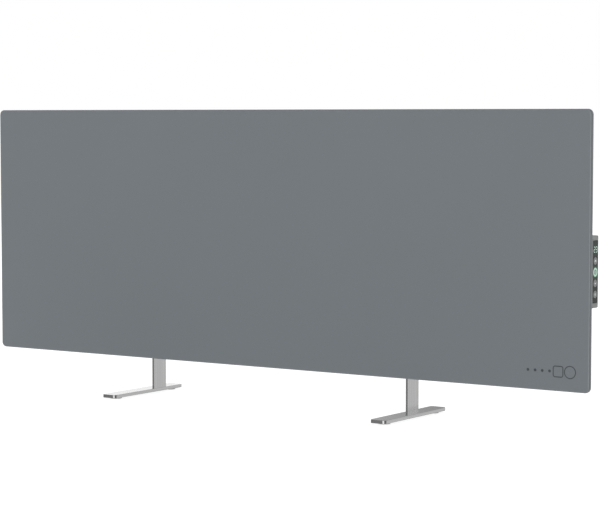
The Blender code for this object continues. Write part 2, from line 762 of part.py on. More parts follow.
def tenon_places():
    """Front and rear end of each tenon."""
    first = UPRIGHT_FRONT_Y + TENON_INSET
    last = UPRIGHT_REAR_Y - TENON_INSET - TENON_LENGTH
    return [(start, start + TENON_LENGTH) for start in (first, last)]


def make_foot(name, side):
    shape = lofted([
        foot_ring(FOOT_EDGE, FOOT_BOTTOM_Z),
        foot_ring(0, FOOT_BOTTOM_Z + FOOT_EDGE),
        foot_ring(0, FOOT_TOP_Z - FOOT_EDGE),
        foot_ring(FOOT_EDGE, FOOT_TOP_Z),
    ])
    slots = [block((UPRIGHT_INNER_X - GAP, start - GAP, FOOT_BOTTOM_Z - OVERRUN),
                   (UPRIGHT_INNER_X + UPRIGHT_THICKNESS + GAP, end + GAP, FOOT_TOP_Z + OVERRUN))
             for start, end in tenon_places()]
    place(name, mirrored(cut(shape, *slots), side), SATIN_STEEL)


def upright_outline():
    """Flat bar in depth and height, stepped back above the cover's lower wall."""
    base = FOOT_TOP_Z + GAP
    tip = FOOT_BOTTOM_Z + TENON_SHORT
    shoulder = BOX_BOTTOM_Z - GAP
    points = [(UPRIGHT_FRONT_Y, base)]
    for start, end in tenon_places():
        points += [(start, base), (start, tip), (end, tip), (end, base)]
    points += [(UPRIGHT_REAR_Y, base)]
    points += arc(UPRIGHT_REAR_Y - UPRIGHT_TOP_ROUND, FLANGE_HIGH_Z - UPRIGHT_TOP_ROUND, UPRIGHT_TOP_ROUND,
                  0, math.radians(90), CORNER_STEPS)
    points += [(FLANGE_Y + FLANGE_BEND, FLANGE_HIGH_Z), (FLANGE_Y + FLANGE_BEND, shoulder)]
    points += [(UPRIGHT_FRONT_Y, shoulder)]
    return points


def flange_outline():
    """Bent flange in width and depth, starting inside the flat bar."""
    bend = (UPRIGHT_INNER_X + FLANGE_BEND, FLANGE_Y + FLANGE_BEND)
    outer = arc(*bend, FLANGE_BEND, math.radians(180), math.radians(270), CORNER_STEPS)
    inner = arc(*bend, FLANGE_INNER_BEND, math.radians(270), math.radians(180), CORNER_STEPS)
    tip = UPRIGHT_INNER_X + FLANGE_WIDTH
    root = bend[1] + UPRIGHT_THICKNESS
    return [
        (UPRIGHT_INNER_X, root),
        *outer,
        (tip, FLANGE_Y),
        (tip, FLANGE_Y + UPRIGHT_THICKNESS),
        *inner,
        (UPRIGHT_INNER_X + UPRIGHT_THICKNESS, root),
    ]


def make_upright(name, side):
    bar = plate(upright_outline(), [], facing_side, UPRIGHT_INNER_X, UPRIGHT_INNER_X + UPRIGHT_THICKNESS)
    flange = plate(flange_outline(), [], facing_up, FLANGE_LOW_Z, FLANGE_HIGH_Z)
    holes = through_holes(
        [(LEG_SCREW_X, height) for height in LEG_SCREW_HEIGHTS], LEG_SCREW_SHANK + 2 * HOLE_CLEARANCE,
        FLANGE_Y - OVERRUN, FLANGE_Y + UPRIGHT_THICKNESS + OVERRUN)
    place(name, mirrored(cut(joined(bar, flange), *holes), side), SATIN_STEEL)


def make_pads(name, side):
    for end, sign in (("front", -1), ("rear", 1)):
        middle = (side * FOOT_SPACING / 2, sign * (FOOT_LENGTH / 2 - PAD_INSET), 0)
        top = (middle[0], middle[1], PAD_THICKNESS)
        place(f"{name}_{end}", rod(PAD_DIAMETER, middle, top, TURNED_STEPS), PAD_RUBBER, pivot=middle)


def backing_width():
    """Width of the plate behind each leg flange."""
    return FLANGE_WIDTH - FLANGE_BEND - BACKING_MARGIN


def make_backing_plate(name, side):
    low_z = FLANGE_LOW_Z + BACKING_MARGIN
    high_z = FLANGE_HIGH_Z - BACKING_MARGIN
    middle = (LEG_SCREW_X, (low_z + high_z) / 2)
    outline = rounded_outline(backing_width(), high_z - low_z, BACKING_MARGIN, middle=middle)
    holes = [circle_outline(LEG_SCREW_SHANK + 2 * HOLE_CLEARANCE, (LEG_SCREW_X, height))
             for height in LEG_SCREW_HEIGHTS]
    shape = plate(outline, holes, facing_front, BACKING_Y - BACKING_THICKNESS, BACKING_Y)
    place(name, mirrored(shape, side), ZINC)


def make_leg_screws(name, side):
    for level, height in zip(("low", "high"), LEG_SCREW_HEIGHTS):
        seat = (side * LEG_SCREW_X, FLANGE_Y + UPRIGHT_THICKNESS + GAP, height)
        end = (seat[0], BACKING_Y - BACKING_THICKNESS - LEG_SCREW_TAIL, height)
        screw = pan_screw(
            LEG_SCREW_HEAD, LEG_SCREW_HEAD_HEIGHT, LEG_SCREW_SHANK, seat, end, (0, -1, 0))
        place(f"{name}_{level}", screw, ZINC, pivot=seat)


def make_legs():
    for name, side in (("left", -1), ("right", 1)):
        make_foot(f"{name}_foot", side)
        make_upright(f"{name}_upright", side)
        make_pads(f"{name}_pad", side)
        make_backing_plate(f"{name}_backing_plate", side)
        make_leg_screws(f"{name}_leg_screw", side)


# Heating element, its carriers and the heat shield


def element_outline():
    """Cross-section in depth and height: a round core with four flat wings."""
    lean = math.atan2(ELEMENT_HEIGHT / 2, (ELEMENT_DEPTH - ELEMENT_WING) / 2)
    reach = math.hypot(ELEMENT_HEIGHT / 2, (ELEMENT_DEPTH - ELEMENT_WING) / 2)
    spread = math.asin(ELEMENT_WING / ELEMENT_CORE)
    middle = Vector((ELEMENT_Y, ELEMENT_Z))
    wings = (lean, math.pi - lean, math.pi + lean, math.tau - lean, math.tau + lean)
    points = []
    for angle, following, steps in zip(wings, wings[1:], (NARROW_STEPS, CORNER_STEPS) * 2):
        along = Vector((math.cos(angle), math.sin(angle)))
        aside = Vector((-along.y, along.x)) * ELEMENT_WING / 2
        points.append(tuple(middle + along * reach - aside))
        points.append(tuple(middle + along * reach + aside))
        points += arc(*middle, ELEMENT_CORE / 2, angle + spread, following - spread, steps)
    return points


def make_element():
    half = ELEMENT_LENGTH / 2
    wings = plate(element_outline(), [], facing_side, -half, half)
    end = half + ELEMENT_PIN_LENGTH
    pin = rod(ELEMENT_PIN, (-end, ELEMENT_Y, ELEMENT_Z), (end, ELEMENT_Y, ELEMENT_Z), TURNED_STEPS)
    place("heating_element", joined(wings, pin), ALUMINIUM)


def make_carriers():
    """Bracket and ceramic bush at each end of the element."""
    front = FACE_Y + PANEL_SKIN + BRACKET_FRONT_GAP
    rear = SHIELD_FACE_Y - GAP
    hole = BUSH_OUTER + 2 * GAP
    for name, side in (("left", -1), ("right", 1)):
        outline = rounded_outline(
            rear - front, BRACKET_HEIGHT, BRACKET_SKIN, middle=((front + rear) / 2, ELEMENT_Z))
        web = plate(outline, [circle_outline(hole, (ELEMENT_Y, ELEMENT_Z), TURNED_STEPS)],
                    facing_side, BRACKET_X, BRACKET_X + BRACKET_SKIN)
        foot = block((BRACKET_X, rear - BRACKET_SKIN, ELEMENT_Z - BRACKET_HEIGHT / 2 + BRACKET_SKIN),
                     (BRACKET_X + BRACKET_FOOT, rear, ELEMENT_Z + BRACKET_HEIGHT / 2 - BRACKET_SKIN))
        place(f"{name}_element_bracket", mirrored(joined(web, foot), side), ZINC)
        bore = ELEMENT_PIN / 2 + GAP
        start = -BUSH_FLANGE_THICKNESS
        profile = (
            (bore, start), (BUSH_FLANGE / 2, start), (BUSH_FLANGE / 2, 0), (BUSH_OUTER / 2, 0),
            (BUSH_OUTER / 2, BUSH_LENGTH), (bore, BUSH_LENGTH), (bore, start),
        )
        seat = (side * (BRACKET_X - GAP), ELEMENT_Y, ELEMENT_Z)
        place(f"{name}_element_bush", turned(profile, seat, (side, 0, 0)), CERAMIC, pivot=seat)


def shield_section():
    """Folded strip in depth and height: flange, step, plate, step, flange."""
    near = INSIDE_Y - GAP
    plate_back = SHIELD_FACE_Y + SHIELD_SKIN
    low = ELEMENT_Z - SHIELD_HEIGHT / 2
    high = ELEMENT_Z + SHIELD_HEIGHT / 2
    inside = [
        (near, low - SHIELD_FLANGE), (near, low + SHIELD_SKIN), (plate_back, low + SHIELD_SKIN),
        (plate_back, high - SHIELD_SKIN), (near, high - SHIELD_SKIN), (near, high + SHIELD_FLANGE),
    ]
    outside = [
        (near - SHIELD_SKIN, high + SHIELD_FLANGE), (near - SHIELD_SKIN, high), (SHIELD_FACE_Y, high),
        (SHIELD_FACE_Y, low), (near - SHIELD_SKIN, low), (near - SHIELD_SKIN, low - SHIELD_FLANGE),
    ]
    return inside + outside


def make_heat_shield():
    """Folded shield, its lower flange notched round each backing plate."""
    shape = plate(shield_section(), [], facing_side, -SHIELD_HALF, SHIELD_HALF)
    low = ELEMENT_Z - SHIELD_HEIGHT / 2
    reach = backing_width() / 2 + BACKING_MARGIN
    notches = [block((side * LEG_SCREW_X - reach, SHIELD_FACE_Y + SHIELD_SKIN, low - SHIELD_FLANGE - OVERRUN),
                     (side * LEG_SCREW_X + reach, INSIDE_Y, low + SHIELD_SKIN + OVERRUN))
               for side in (-1, 1)]
    place("heat_shield", cut(shape, *notches), ALUMINIUM)


def make_thermal_cutout():
    """Bimetal cut-out with two blade tabs, its base on the shield."""
    seat_y = SHIELD_FACE_Y - GAP
    middle_z = ELEMENT_Z + ELEMENT_HEIGHT / 2 + CUTOUT_ABOVE + CUTOUT_DIAMETER / 2
    seat = (CUTOUT_OFFSET, seat_y, middle_z)
    top = CUTOUT_HEIGHT + CUTOUT_CAP_HEIGHT
    body = CUTOUT_DIAMETER / 2
    cap = CUTOUT_CAP / 2
    profile = ((0, 0), (body, 0), (body, CUTOUT_HEIGHT), (cap, CUTOUT_HEIGHT), (cap, top), (0, top))
    shape = turned(profile, seat, (0, -1, 0))
    tab_y = seat_y - CUTOUT_HEIGHT / 2
    for sign in (-1, 1):
        middle_x = CUTOUT_OFFSET + sign * CUTOUT_TAB_SPACING / 2
        tab = block((middle_x - CUTOUT_TAB / 4, tab_y - CUTOUT_TAB_THICKNESS, middle_z),
                    (middle_x + CUTOUT_TAB / 4, tab_y, middle_z + CUTOUT_DIAMETER / 2 + CUTOUT_TAB))
        shape = joined(shape, tab)
    place("thermal_cutout", shape, BLACK_PLASTIC, pivot=seat)


# Terminal block and cable entry


def make_terminal_block():
    """Three-pole block on the inside of the cover, with a screw well for each pole."""
    left = BLOCK_RIGHT_X - BLOCK_LENGTH
    low = BOX_BOTTOM_Z + BLOCK_RISE + ENTRY_FLANGE
    back = INSIDE_Y - GAP
    shape = block((left, back - BLOCK_DEPTH, low), (BLOCK_RIGHT_X, back, low + BLOCK_HEIGHT))
    shape = softened(shape, GAP)
    wells = []
    pitch = BLOCK_LENGTH / BLOCK_POLES
    front = back - BLOCK_DEPTH
    middle = low + BLOCK_HEIGHT / 2
    for pole in range(BLOCK_POLES):
        x = left + pitch * (pole + 1 / 2)
        bottom = (x, front + BLOCK_WELL_DEPTH, middle)
        wells.append(rod(BLOCK_SCREW_WELL, (x, front - OVERRUN, middle), bottom))
    place("terminal_block", cut(shape, *wells), BLOCK_PLASTIC)


def make_cable_entry():
    """Closed rubber grommet seated in the hole in the cover's back."""
    x, z = entry_place()
    outer = BACK_Y + GAP
    inner = INSIDE_Y - GAP
    neck = ENTRY_HOLE / 2 - GAP
    start = -ENTRY_INNER_THICKNESS
    length = outer - inner
    top = length + ENTRY_FLANGE_THICKNESS
    rim = ENTRY_FLANGE / 2
    floor = top - ENTRY_DIMPLE_DEPTH
    profile = (
        (0, start), (ENTRY_INNER_FLANGE / 2, start), (ENTRY_INNER_FLANGE / 2, 0),
        (neck, 0), (neck, length), (rim, length),
        (rim - ENTRY_FLANGE_THICKNESS / 2, top), ((ENTRY_DIMPLE + ENTRY_DIMPLE_DEPTH) / 2, top),
        (ENTRY_DIMPLE / 2, floor), (0, floor),
    )
    seat = (x, inner, z)
    place("cable_entry", turned(profile, seat, (0, 1, 0)), RUBBER, pivot=seat)


# Control housing, lens and keys


def make_control_housing():
    """Moulded box, open towards the cover, with a window, vents and two screw ears."""
    inner_depth = HOUSING_DEPTH - 2 * HOUSING_SIDE
    inner_height = HOUSING_HEIGHT - 2 * HOUSING_END

    def ring(inset, x):
        outline = rounded_outline(HOUSING_DEPTH - 2 * inset, HOUSING_HEIGHT - 2 * inset,
                                  HOUSING_ROUND - inset, BEND_STEPS, (HOUSING_Y, HOUSING_Z))
        return [facing_side(u, v, x) for u, v in outline]

    shape = lofted([
        ring(0, HOUSING_BACK_X),
        ring(0, HOUSING_FACE_X - HOUSING_EDGE),
        ring(HOUSING_EDGE, HOUSING_FACE_X),
    ])
    for up in (1, -1):
        root = HOUSING_Z + up * (HOUSING_HEIGHT / 2 - HOUSING_END)
        tip = HOUSING_Z + up * (HOUSING_HEIGHT / 2 + EAR_LENGTH)
        outline = rounded_outline(EAR_WIDTH, abs(tip - root), EAR_ROUND, BEND_STEPS,
                                  (SIDE_X - EAR_SET_BACK - EAR_WIDTH / 2, (root + tip) / 2))
        ear = plate(outline, [], facing_front, HOUSING_FRONT_Y, HOUSING_FRONT_Y + EAR_THICKNESS)
        shape = joined(shape, ear)
    cavity = block(
        (HOUSING_BACK_X - OVERRUN, HOUSING_Y - inner_depth / 2, HOUSING_Z - inner_height / 2),
        (HOUSING_FACE_X - HOUSING_FACE, HOUSING_Y + inner_depth / 2, HOUSING_Z + inner_height / 2))
    window = plate(
        rounded_outline(LENS_WIDTH + 2 * GAP, LENS_HEIGHT + 2 * GAP, LENS_ROUND + GAP, BEND_STEPS,
                        (HOUSING_Y, HOUSING_Z)),
        [], facing_side, HOUSING_FACE_X - HOUSING_FACE - OVERRUN, HOUSING_FACE_X + OVERRUN)
    vents = []
    low = HOUSING_Z - HOUSING_HEIGHT / 2
    for index in range(VENT_COUNT):
        x = HOUSING_FACE_X - HOUSING_FACE - OVERRUN - index * VENT_PITCH
        vents.append(block((x - VENT_WIDTH, HOUSING_Y - VENT_LENGTH / 2, low - OVERRUN),
                           (x, HOUSING_Y + VENT_LENGTH / 2, low + HOUSING_END + OVERRUN)))
    holes = through_holes(ear_screw_places(), EAR_SCREW_SHANK + 2 * HOLE_CLEARANCE,
                          HOUSING_FRONT_Y - OVERRUN, HOUSING_FRONT_Y + EAR_THICKNESS + OVERRUN)
    shape = cut(shape, joined(cavity, window))
    place("control_housing", cut(shape, *vents, *holes), HOUSING_PLASTIC)


def make_ear_screws():
    for level, (x, z) in zip(("high", "low"), ear_screw_places()):
        seat = (x, HOUSING_FRONT_Y + EAR_THICKNESS + GAP, z)
        end = (x, RETURN_Y - PANEL_SKIN - COVER_SKIN, z)
        screw = pan_screw(
            EAR_SCREW_HEAD, EAR_SCREW_HEAD_HEIGHT, EAR_SCREW_SHANK, seat, end, (0, -1, 0))
        place(f"housing_screw_{level}", screw, ZINC, pivot=seat)


def make_lens():
    """Dark strip in the window, with a lip behind the housing's face and holes for the keys."""
    outline = rounded_outline(LENS_WIDTH, LENS_HEIGHT, LENS_ROUND, BEND_STEPS, (HOUSING_Y, HOUSING_Z))
    holes = []
    for index, name in enumerate(KEY_NAMES):
        diameter = RING_OUTER if name == "key_power" else KEY_DIAMETER
        holes.append(circle_outline(diameter + 2 * GAP, (HOUSING_Y, key_height(index)), TURNED_STEPS))
    shape = plate(outline, holes, facing_side, LENS_BACK_X, LENS_FACE_X)
    for up in (1, -1):
        ends = [HOUSING_Z + up * (LENS_HEIGHT / 2 + reach) for reach in (-LENS_LIP, LENS_LIP)]
        lip = block((LENS_BACK_X, HOUSING_Y - LENS_WIDTH / 2, min(ends)),
                    (LENS_LIP_X, HOUSING_Y + LENS_WIDTH / 2, max(ends)))
        shape = joined(shape, lip)
    place("control_lens", shape, LENS_PLASTIC)


def make_display():
    """Digit module between the lens and the board."""
    shape = block((BOARD_X + GAP, HOUSING_Y - DISPLAY_WIDTH / 2, DISPLAY_Z - DISPLAY_HEIGHT / 2),
                  (LENS_BACK_X - GAP, HOUSING_Y + DISPLAY_WIDTH / 2, DISPLAY_Z + DISPLAY_HEIGHT / 2))
    place("display_module", softened(shape, GAP), BLACK_PLASTIC)


def key_profile(diameter, drop):
    """Key from its stem's end to its dished face; the collar sits lower by the drop."""
    radius = diameter / 2
    seat = COLLAR_X - drop - KEY_END_X
    start = seat - KEY_COLLAR_THICKNESS
    top = KEY_FACE_X - KEY_END_X
    return (
        (0, 0), (KEY_STEM / 2, 0), (KEY_STEM / 2, start), (KEY_COLLAR / 2, start), (KEY_COLLAR / 2, seat),
        (radius, seat), (radius, top - KEY_EDGE), (radius - KEY_EDGE, top), (radius / 2, top - KEY_DISH),
        (0, top - KEY_DISH),
    )


def make_keys():
    """Four keys, the power key with its collar behind the flange of the light ring."""
    for index, name in enumerate(KEY_NAMES):
        pivot = (KEY_END_X, HOUSING_Y, key_height(index))
        if name == "key_power":
            profile = key_profile(POWER_KEY_DIAMETER, RING_FLANGE_THICKNESS + GAP)
        else:
            profile = key_profile(KEY_DIAMETER, 0)
        place(name, turned(profile, pivot, (1, 0, 0)), KEY_PLASTIC, pivot=pivot)


def make_power_ring():
    """Light guide round the power key, with a flange behind the lens."""
    inner = POWER_KEY_DIAMETER / 2 + GAP
    outer = RING_OUTER / 2
    flange = RING_FLANGE / 2
    back = -RING_FLANGE_THICKNESS
    top = LENS_FACE_X - COLLAR_X
    profile = ((inner, back), (flange, back), (flange, 0), (outer, 0), (outer, top - KEY_DISH),
               (outer - KEY_DISH, top), (inner, top), (inner, back))
    seat = (COLLAR_X, HOUSING_Y, key_height(KEY_NAMES.index("key_power")))
    place("power_ring", turned(profile, seat, (1, 0, 0)), LIGHT_GUIDE, pivot=seat)


# Circuit board


def make_board():
    width = HOUSING_DEPTH - 2 * HOUSING_SIDE - 2 * GAP
    height = HOUSING_HEIGHT - 2 * HOUSING_END - 2 * BOARD_END_GAP
    shape = block((BOARD_X - BOARD_THICKNESS, HOUSING_Y - width / 2, HOUSING_Z - height / 2),
                  (BOARD_X, HOUSING_Y + width / 2, HOUSING_Z + height / 2))
    place("circuit_board", shape, BOARD_GREEN)


def make_switches():
    """Tact switch under each key, its plunger clear of the key at full travel."""
    for index, name in enumerate(KEY_NAMES):
        middle = (SWITCH_BASE_X, HOUSING_Y, key_height(index))
        half = SWITCH_WIDTH / 2
        body = block((SWITCH_BASE_X, middle[1] - half, middle[2] - half),
                     (SWITCH_BASE_X + SWITCH_HEIGHT, middle[1] + half, middle[2] + half))
        top = (PLUNGER_TOP_X, middle[1], middle[2])
        plunger = rod(PLUNGER_DIAMETER, (SWITCH_BASE_X + SWITCH_HEIGHT / 2, middle[1], middle[2]), top)
        place(name.replace("key", "tact_switch"), joined(softened(body, GAP), plunger), BLACK_PLASTIC)


def make_board_parts():
    """Relay and capacitor behind the board, and the room sensor at its lower end."""
    behind = BOARD_X - BOARD_THICKNESS - GAP
    relay_z = HOUSING_Z - RELAY_BELOW_MIDDLE
    relay = block((behind - RELAY_DEPTH, HOUSING_Y - RELAY_WIDTH / 2, relay_z - RELAY_LENGTH / 2),
                  (behind, HOUSING_Y + RELAY_WIDTH / 2, relay_z + RELAY_LENGTH / 2))
    place("relay", softened(relay, RELAY_ROUND), BLACK_PLASTIC)

    radius = CAPACITOR_DIAMETER / 2
    profile = ((0, 0), (radius, 0), (radius, CAPACITOR_LENGTH - CAPACITOR_ROUND),
               (radius - CAPACITOR_ROUND, CAPACITOR_LENGTH), (0, CAPACITOR_LENGTH))
    seat = (behind, HOUSING_Y, HOUSING_Z + CAPACITOR_ABOVE_MIDDLE)
    place("capacitor", turned(profile, seat, (-1, 0, 0)), ALUMINIUM, pivot=seat)

    sensor_z = HOUSING_Z - HOUSING_HEIGHT / 2 + HOUSING_END + SENSOR_ABOVE_END
    start = (BOARD_X + GAP, HOUSING_Y, sensor_z)
    end = (BOARD_X + GAP + SENSOR_LENGTH, HOUSING_Y, sensor_z)
    place("room_sensor", rod(SENSOR_DIAMETER, start, end), BLACK_PLASTIC, pivot=start)


make_front_panel()
make_rear_cover()
make_cover_screws()
make_legs()
make_element()
make_carriers()
make_heat_shield()
make_thermal_cutout()
make_terminal_block()
make_cable_entry()
make_control_housing()
make_ear_screws()
make_lens()
make_display()
make_keys()
make_power_ring()
make_board()
make_switches()
make_board_parts()
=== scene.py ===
import json
import math

import bmesh
import bpy
from mathutils import Matrix, Vector


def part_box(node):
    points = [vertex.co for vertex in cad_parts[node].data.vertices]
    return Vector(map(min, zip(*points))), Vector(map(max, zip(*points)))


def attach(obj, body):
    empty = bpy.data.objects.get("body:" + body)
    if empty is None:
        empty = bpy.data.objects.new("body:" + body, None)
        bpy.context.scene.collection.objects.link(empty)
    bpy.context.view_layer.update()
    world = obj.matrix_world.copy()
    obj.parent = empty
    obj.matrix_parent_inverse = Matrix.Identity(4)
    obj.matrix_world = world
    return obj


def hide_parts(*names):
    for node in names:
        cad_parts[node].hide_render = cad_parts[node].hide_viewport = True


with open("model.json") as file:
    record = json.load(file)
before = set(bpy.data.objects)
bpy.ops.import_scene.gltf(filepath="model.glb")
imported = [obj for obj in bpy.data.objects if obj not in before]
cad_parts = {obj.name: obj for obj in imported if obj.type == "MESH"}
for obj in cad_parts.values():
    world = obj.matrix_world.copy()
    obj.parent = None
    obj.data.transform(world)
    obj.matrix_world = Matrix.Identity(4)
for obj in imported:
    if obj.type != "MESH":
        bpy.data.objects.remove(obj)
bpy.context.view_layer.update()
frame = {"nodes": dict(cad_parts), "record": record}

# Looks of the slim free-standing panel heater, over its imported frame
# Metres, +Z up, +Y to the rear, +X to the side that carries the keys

SLOTS = {part["node"]: part["material_slot"] for part in frame["record"]["subparts"]}
HEATER = "heater"
SIDES = ("left", "right")
GAP = 0.0003            # clearance between neighbouring pieces
MERGE = 0.000001        # vertices closer than this become one
OVERRUN = 0.002         # how far a cutter runs past what it cuts

# Camera, fitted to the four edges of the panel
CAMERA_PLACE = (1.5980, -2.2828, 0.3806)
CAMERA_YAW = 34.1837    # degrees from straight ahead, towards -X
CAMERA_DROP = 4.0242    # degrees below the horizon
CAMERA_LENS = 127.28    # millimetres, as is the sensor's width
CAMERA_SENSOR = 36.0

# Steps round curves
CORNER_STEPS = 14
BEND_STEPS = 7
TURNED_STEPS = 56
SCREW_STEPS = 32
HOLE_STEPS = 24

# Angles between neighbouring faces, in degrees
FLAT_ANGLE = 0.5        # below it, the two faces become one
STEEP_ANGLE = 60        # above it, the edge between them is softened
SHARP_ANGLE = 38        # above it, the edge stays crisp in the shading
HOUSING_SHARP_ANGLE = 50

# Softened edges of the pieces that are copied from the frame
EDGE_STEPS = 2
UPRIGHT_EDGE_STEPS = 3
UPRIGHT_EDGE = 0.00012
PAD_EDGE = 0.0003
HOUSING_EDGE = 0.00015
LENS_EDGE = 0.00012

# Front panel
PANEL_LOW, PANEL_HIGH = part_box("front_panel")
PANEL_SKIN = 0.0012
PANEL_BEND = 0.0020
PANEL_CORNER = 0.007
RETURN_WIDTH = 0.016
PANEL_WIDTH = PANEL_HIGH.x - PANEL_LOW.x
PANEL_HEIGHT = PANEL_HIGH.z - PANEL_LOW.z
PANEL_DEPTH = PANEL_HIGH.y - PANEL_LOW.y
FACE_Y = PANEL_LOW.y
RETURN_Y = PANEL_HIGH.y
MIDDLE_Z = (PANEL_LOW.z + PANEL_HIGH.z) / 2

# Rear cover
COVER_LOW, COVER_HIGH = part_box("rear_cover")
COVER_SKIN = 0.0008
COVER_RIM_INSET = 0.003
COVER_WALL_INSET = 0.021
COVER_CORNER = 0.012
COVER_BEND = 0.0025
RIM_Y = COVER_LOW.y + COVER_SKIN
LOUVRE_RISE = 0.0028
BACK_Y = COVER_HIGH.y - LOUVRE_RISE
INSIDE_Y = BACK_Y - COVER_SKIN
BOX_WIDTH = PANEL_WIDTH - 2 * COVER_WALL_INSET
BOX_HEIGHT = PANEL_HEIGHT - 2 * COVER_WALL_INSET
BOX_SIDE_X = BOX_WIDTH / 2
BOX_BOTTOM_Z = MIDDLE_Z - BOX_HEIGHT / 2
BOX_TOP_Z = MIDDLE_Z + BOX_HEIGHT / 2

# Pressed louvres, in banks that leave the legs free
LOUVRE_LENGTH = 0.062
LOUVRE_HEIGHT = 0.008
LOUVRE_SLOT = 0.0014
LOUVRE_END = 0.007      # over which a hood rises at either end
LOUVRE_PITCH = 0.078
LOUVRE_ROW_PITCH = 0.0145
LOUVRE_ROWS = 2
LOUVRE_MARGIN = 0.004   # flat border of a bank
LOUVRE_STEPS = 7
BANK_INSET = 0.014      # from the box's upper or lower wall
BANK_SIDE_MARGIN = 0.030
LEG_MIDDLE = 0.214
LEG_CLEAR_WIDTH = 0.084

# Screws
HEAD_FLAT_SHARE = 2 / 3     # of the head's radius, inside the dome's curve
HEAD_WALL_SHARE = 0.35      # of the head's height, upright under the dome
RECESS_REACH_SHARE = 0.28   # of the head's width, from its middle to the end of an arm
RECESS_SLIM_SHARE = 0.25    # of that reach, half the width of an arm
RECESS_DEPTH = 0.0009
HOLE_CLEARANCE = 0.0003
SCREW_KINDS = {             # head height and shank diameter
    "cover_screw": (0.0018, 0.0030),
    "leg_screw": (0.0026, 0.0040),
    "housing_screw": (0.0015, 0.0024),
}

# Cable entry
ENTRY_HOLE = 0.0110
ENTRY_DIMPLE = 0.0066
ENTRY_DIMPLE_DEPTH = 0.0020
ENTRY_FLANGE_THICKNESS = 0.0022
ENTRY_INNER_FLANGE = 0.0140
ENTRY_INNER_THICKNESS = 0.0018

# Legs
FOOT_CORNER = 0.0045
FOOT_EDGE = 0.0005
UPRIGHT_FRONT_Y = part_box("right_upright")[0].y
UPRIGHT_DEPTH = 0.027
UPRIGHT_THICKNESS = 0.003
TENON_LENGTH = 0.007
TENON_INSET = 0.0035
TENON_FIT = 0.00005

# Keys and light ring
LENS_FACE_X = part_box("control_lens")[1].x
KEY_DIAMETER = 0.0094
POWER_KEY_DIAMETER = 0.0060
KEY_EDGE = 0.0005
KEY_DISH = 0.0002
DISH_FLAT_SHARE = 0.5   # of a key's radius, flat at the bottom of its dish
KEY_COLLAR = 0.0112
KEY_COLLAR_THICKNESS = 0.0008
KEY_STEM = 0.0034
RING_EDGE = 0.0002
RING_FLANGE_REACH = 0.0005
KEY_BODIES = {
    "key_up": "up_key",
    "key_power": "power_key",
    "key_down": "down_key",
    "key_menu": "menu_key",
}

# Signs on the keys
SIGN_THICKNESS = 0.00004
MITRE_LIMIT = 0.4       # a turn in a line is never wider than the line over this
ARROW_LINE = 0.00070
ARROW_REACH = 0.0017
ARROW_RISE = 0.0007
POWER_SIGN_LINE = 0.00056
POWER_SIGN_RADIUS = 0.00125
POWER_SIGN_DROP = 0.0001        # of the open ring's middle under the key's
POWER_SIGN_SPAN = (130, 410)    # degrees that the open ring goes round
POWER_SIGN_BAR = (0.0001, 0.0016)
POWER_SIGN_STEPS = 24
MENU_LINE = 0.000525
MENU_REACH = 0.0011
MENU_PITCH = 0.00095

# Lit digits, with each segment's ends in widths and half heights of a digit
DIGITS = (2, 3)
DIGIT_HEIGHT = 0.0070
DIGIT_WIDTH = 0.0038
DIGIT_PITCH = 0.0053
DIGIT_LINE = 0.0006
DIGIT_RAISE = 0.0004    # digits' middle above the display's middle
SEGMENT_TRIM = DIGIT_LINE * 0.4     # by which each end of a segment stops short
SEGMENTS = {
    "top": ((-0.5, 1), (0.5, 1)),
    "middle": ((-0.5, 0), (0.5, 0)),
    "bottom": ((-0.5, -1), (0.5, -1)),
    "high_right": ((0.5, 0), (0.5, 1)),
    "low_left": ((-0.5, -1), (-0.5, 0)),
    "low_right": ((0.5, -1), (0.5, 0)),
}
LIT_SEGMENTS = {
    2: ("top", "high_right", "middle", "low_left", "bottom"),
    3: ("top", "high_right", "middle", "low_right", "bottom"),
}

# Generic marks printed in the panel's lower right corner
MARK_LINE = 0.0012
MARK_THICKNESS = 0.00003
MARK_Z = 0.0741
RING_MARK_X = 0.4430
RING_MARK_DIAMETER = 0.0160
RING_MARK_STEPS = 48
SQUARE_MARK_X = 0.4270
SQUARE_MARK_SIZE = 0.0130
SQUARE_MARK_CORNER = 0.0024
SQUARE_MARK_STEPS = 6
DOT_MARKS = 4
DOT_MARK_X = 0.3861
DOT_MARK_PITCH = 0.0098
DOT_MARK_DIAMETER = 0.0036
DOT_MARK_STEPS = 28

# Colours and glows
FRONT_GREY = (0.176, 0.198, 0.214)
COVER_GREY = (0.155, 0.172, 0.182)
LENS_BLACK = (0.013, 0.021, 0.018)
LENS_ROUGHNESS = 0.10
LENS_GLOW = (0.25, 1.0, 0.50)
RING_GLOW_REACH = 0.0115
RING_GLOW_POWER = 0.20
DISPLAY_GLOW_REACH = 0.0105
DISPLAY_GLOW_POWER = 0.07
GLOW_FALL = 2.0         # power to which a glow's even fall is raised
GLOW_PATCHES = (0.92, 1.05)     # least and most of its strength that a lit piece shows
LIT_GREEN = (0.62, 1.0, 0.80)
LIT_WHITE = (0.86, 0.95, 0.90)
LIT_VIOLET = (0.86, 0.80, 0.94)
RING_GREEN = (0.41, 0.62, 0.50)
DIGIT_GREEN = (0.80, 1.0, 0.92)

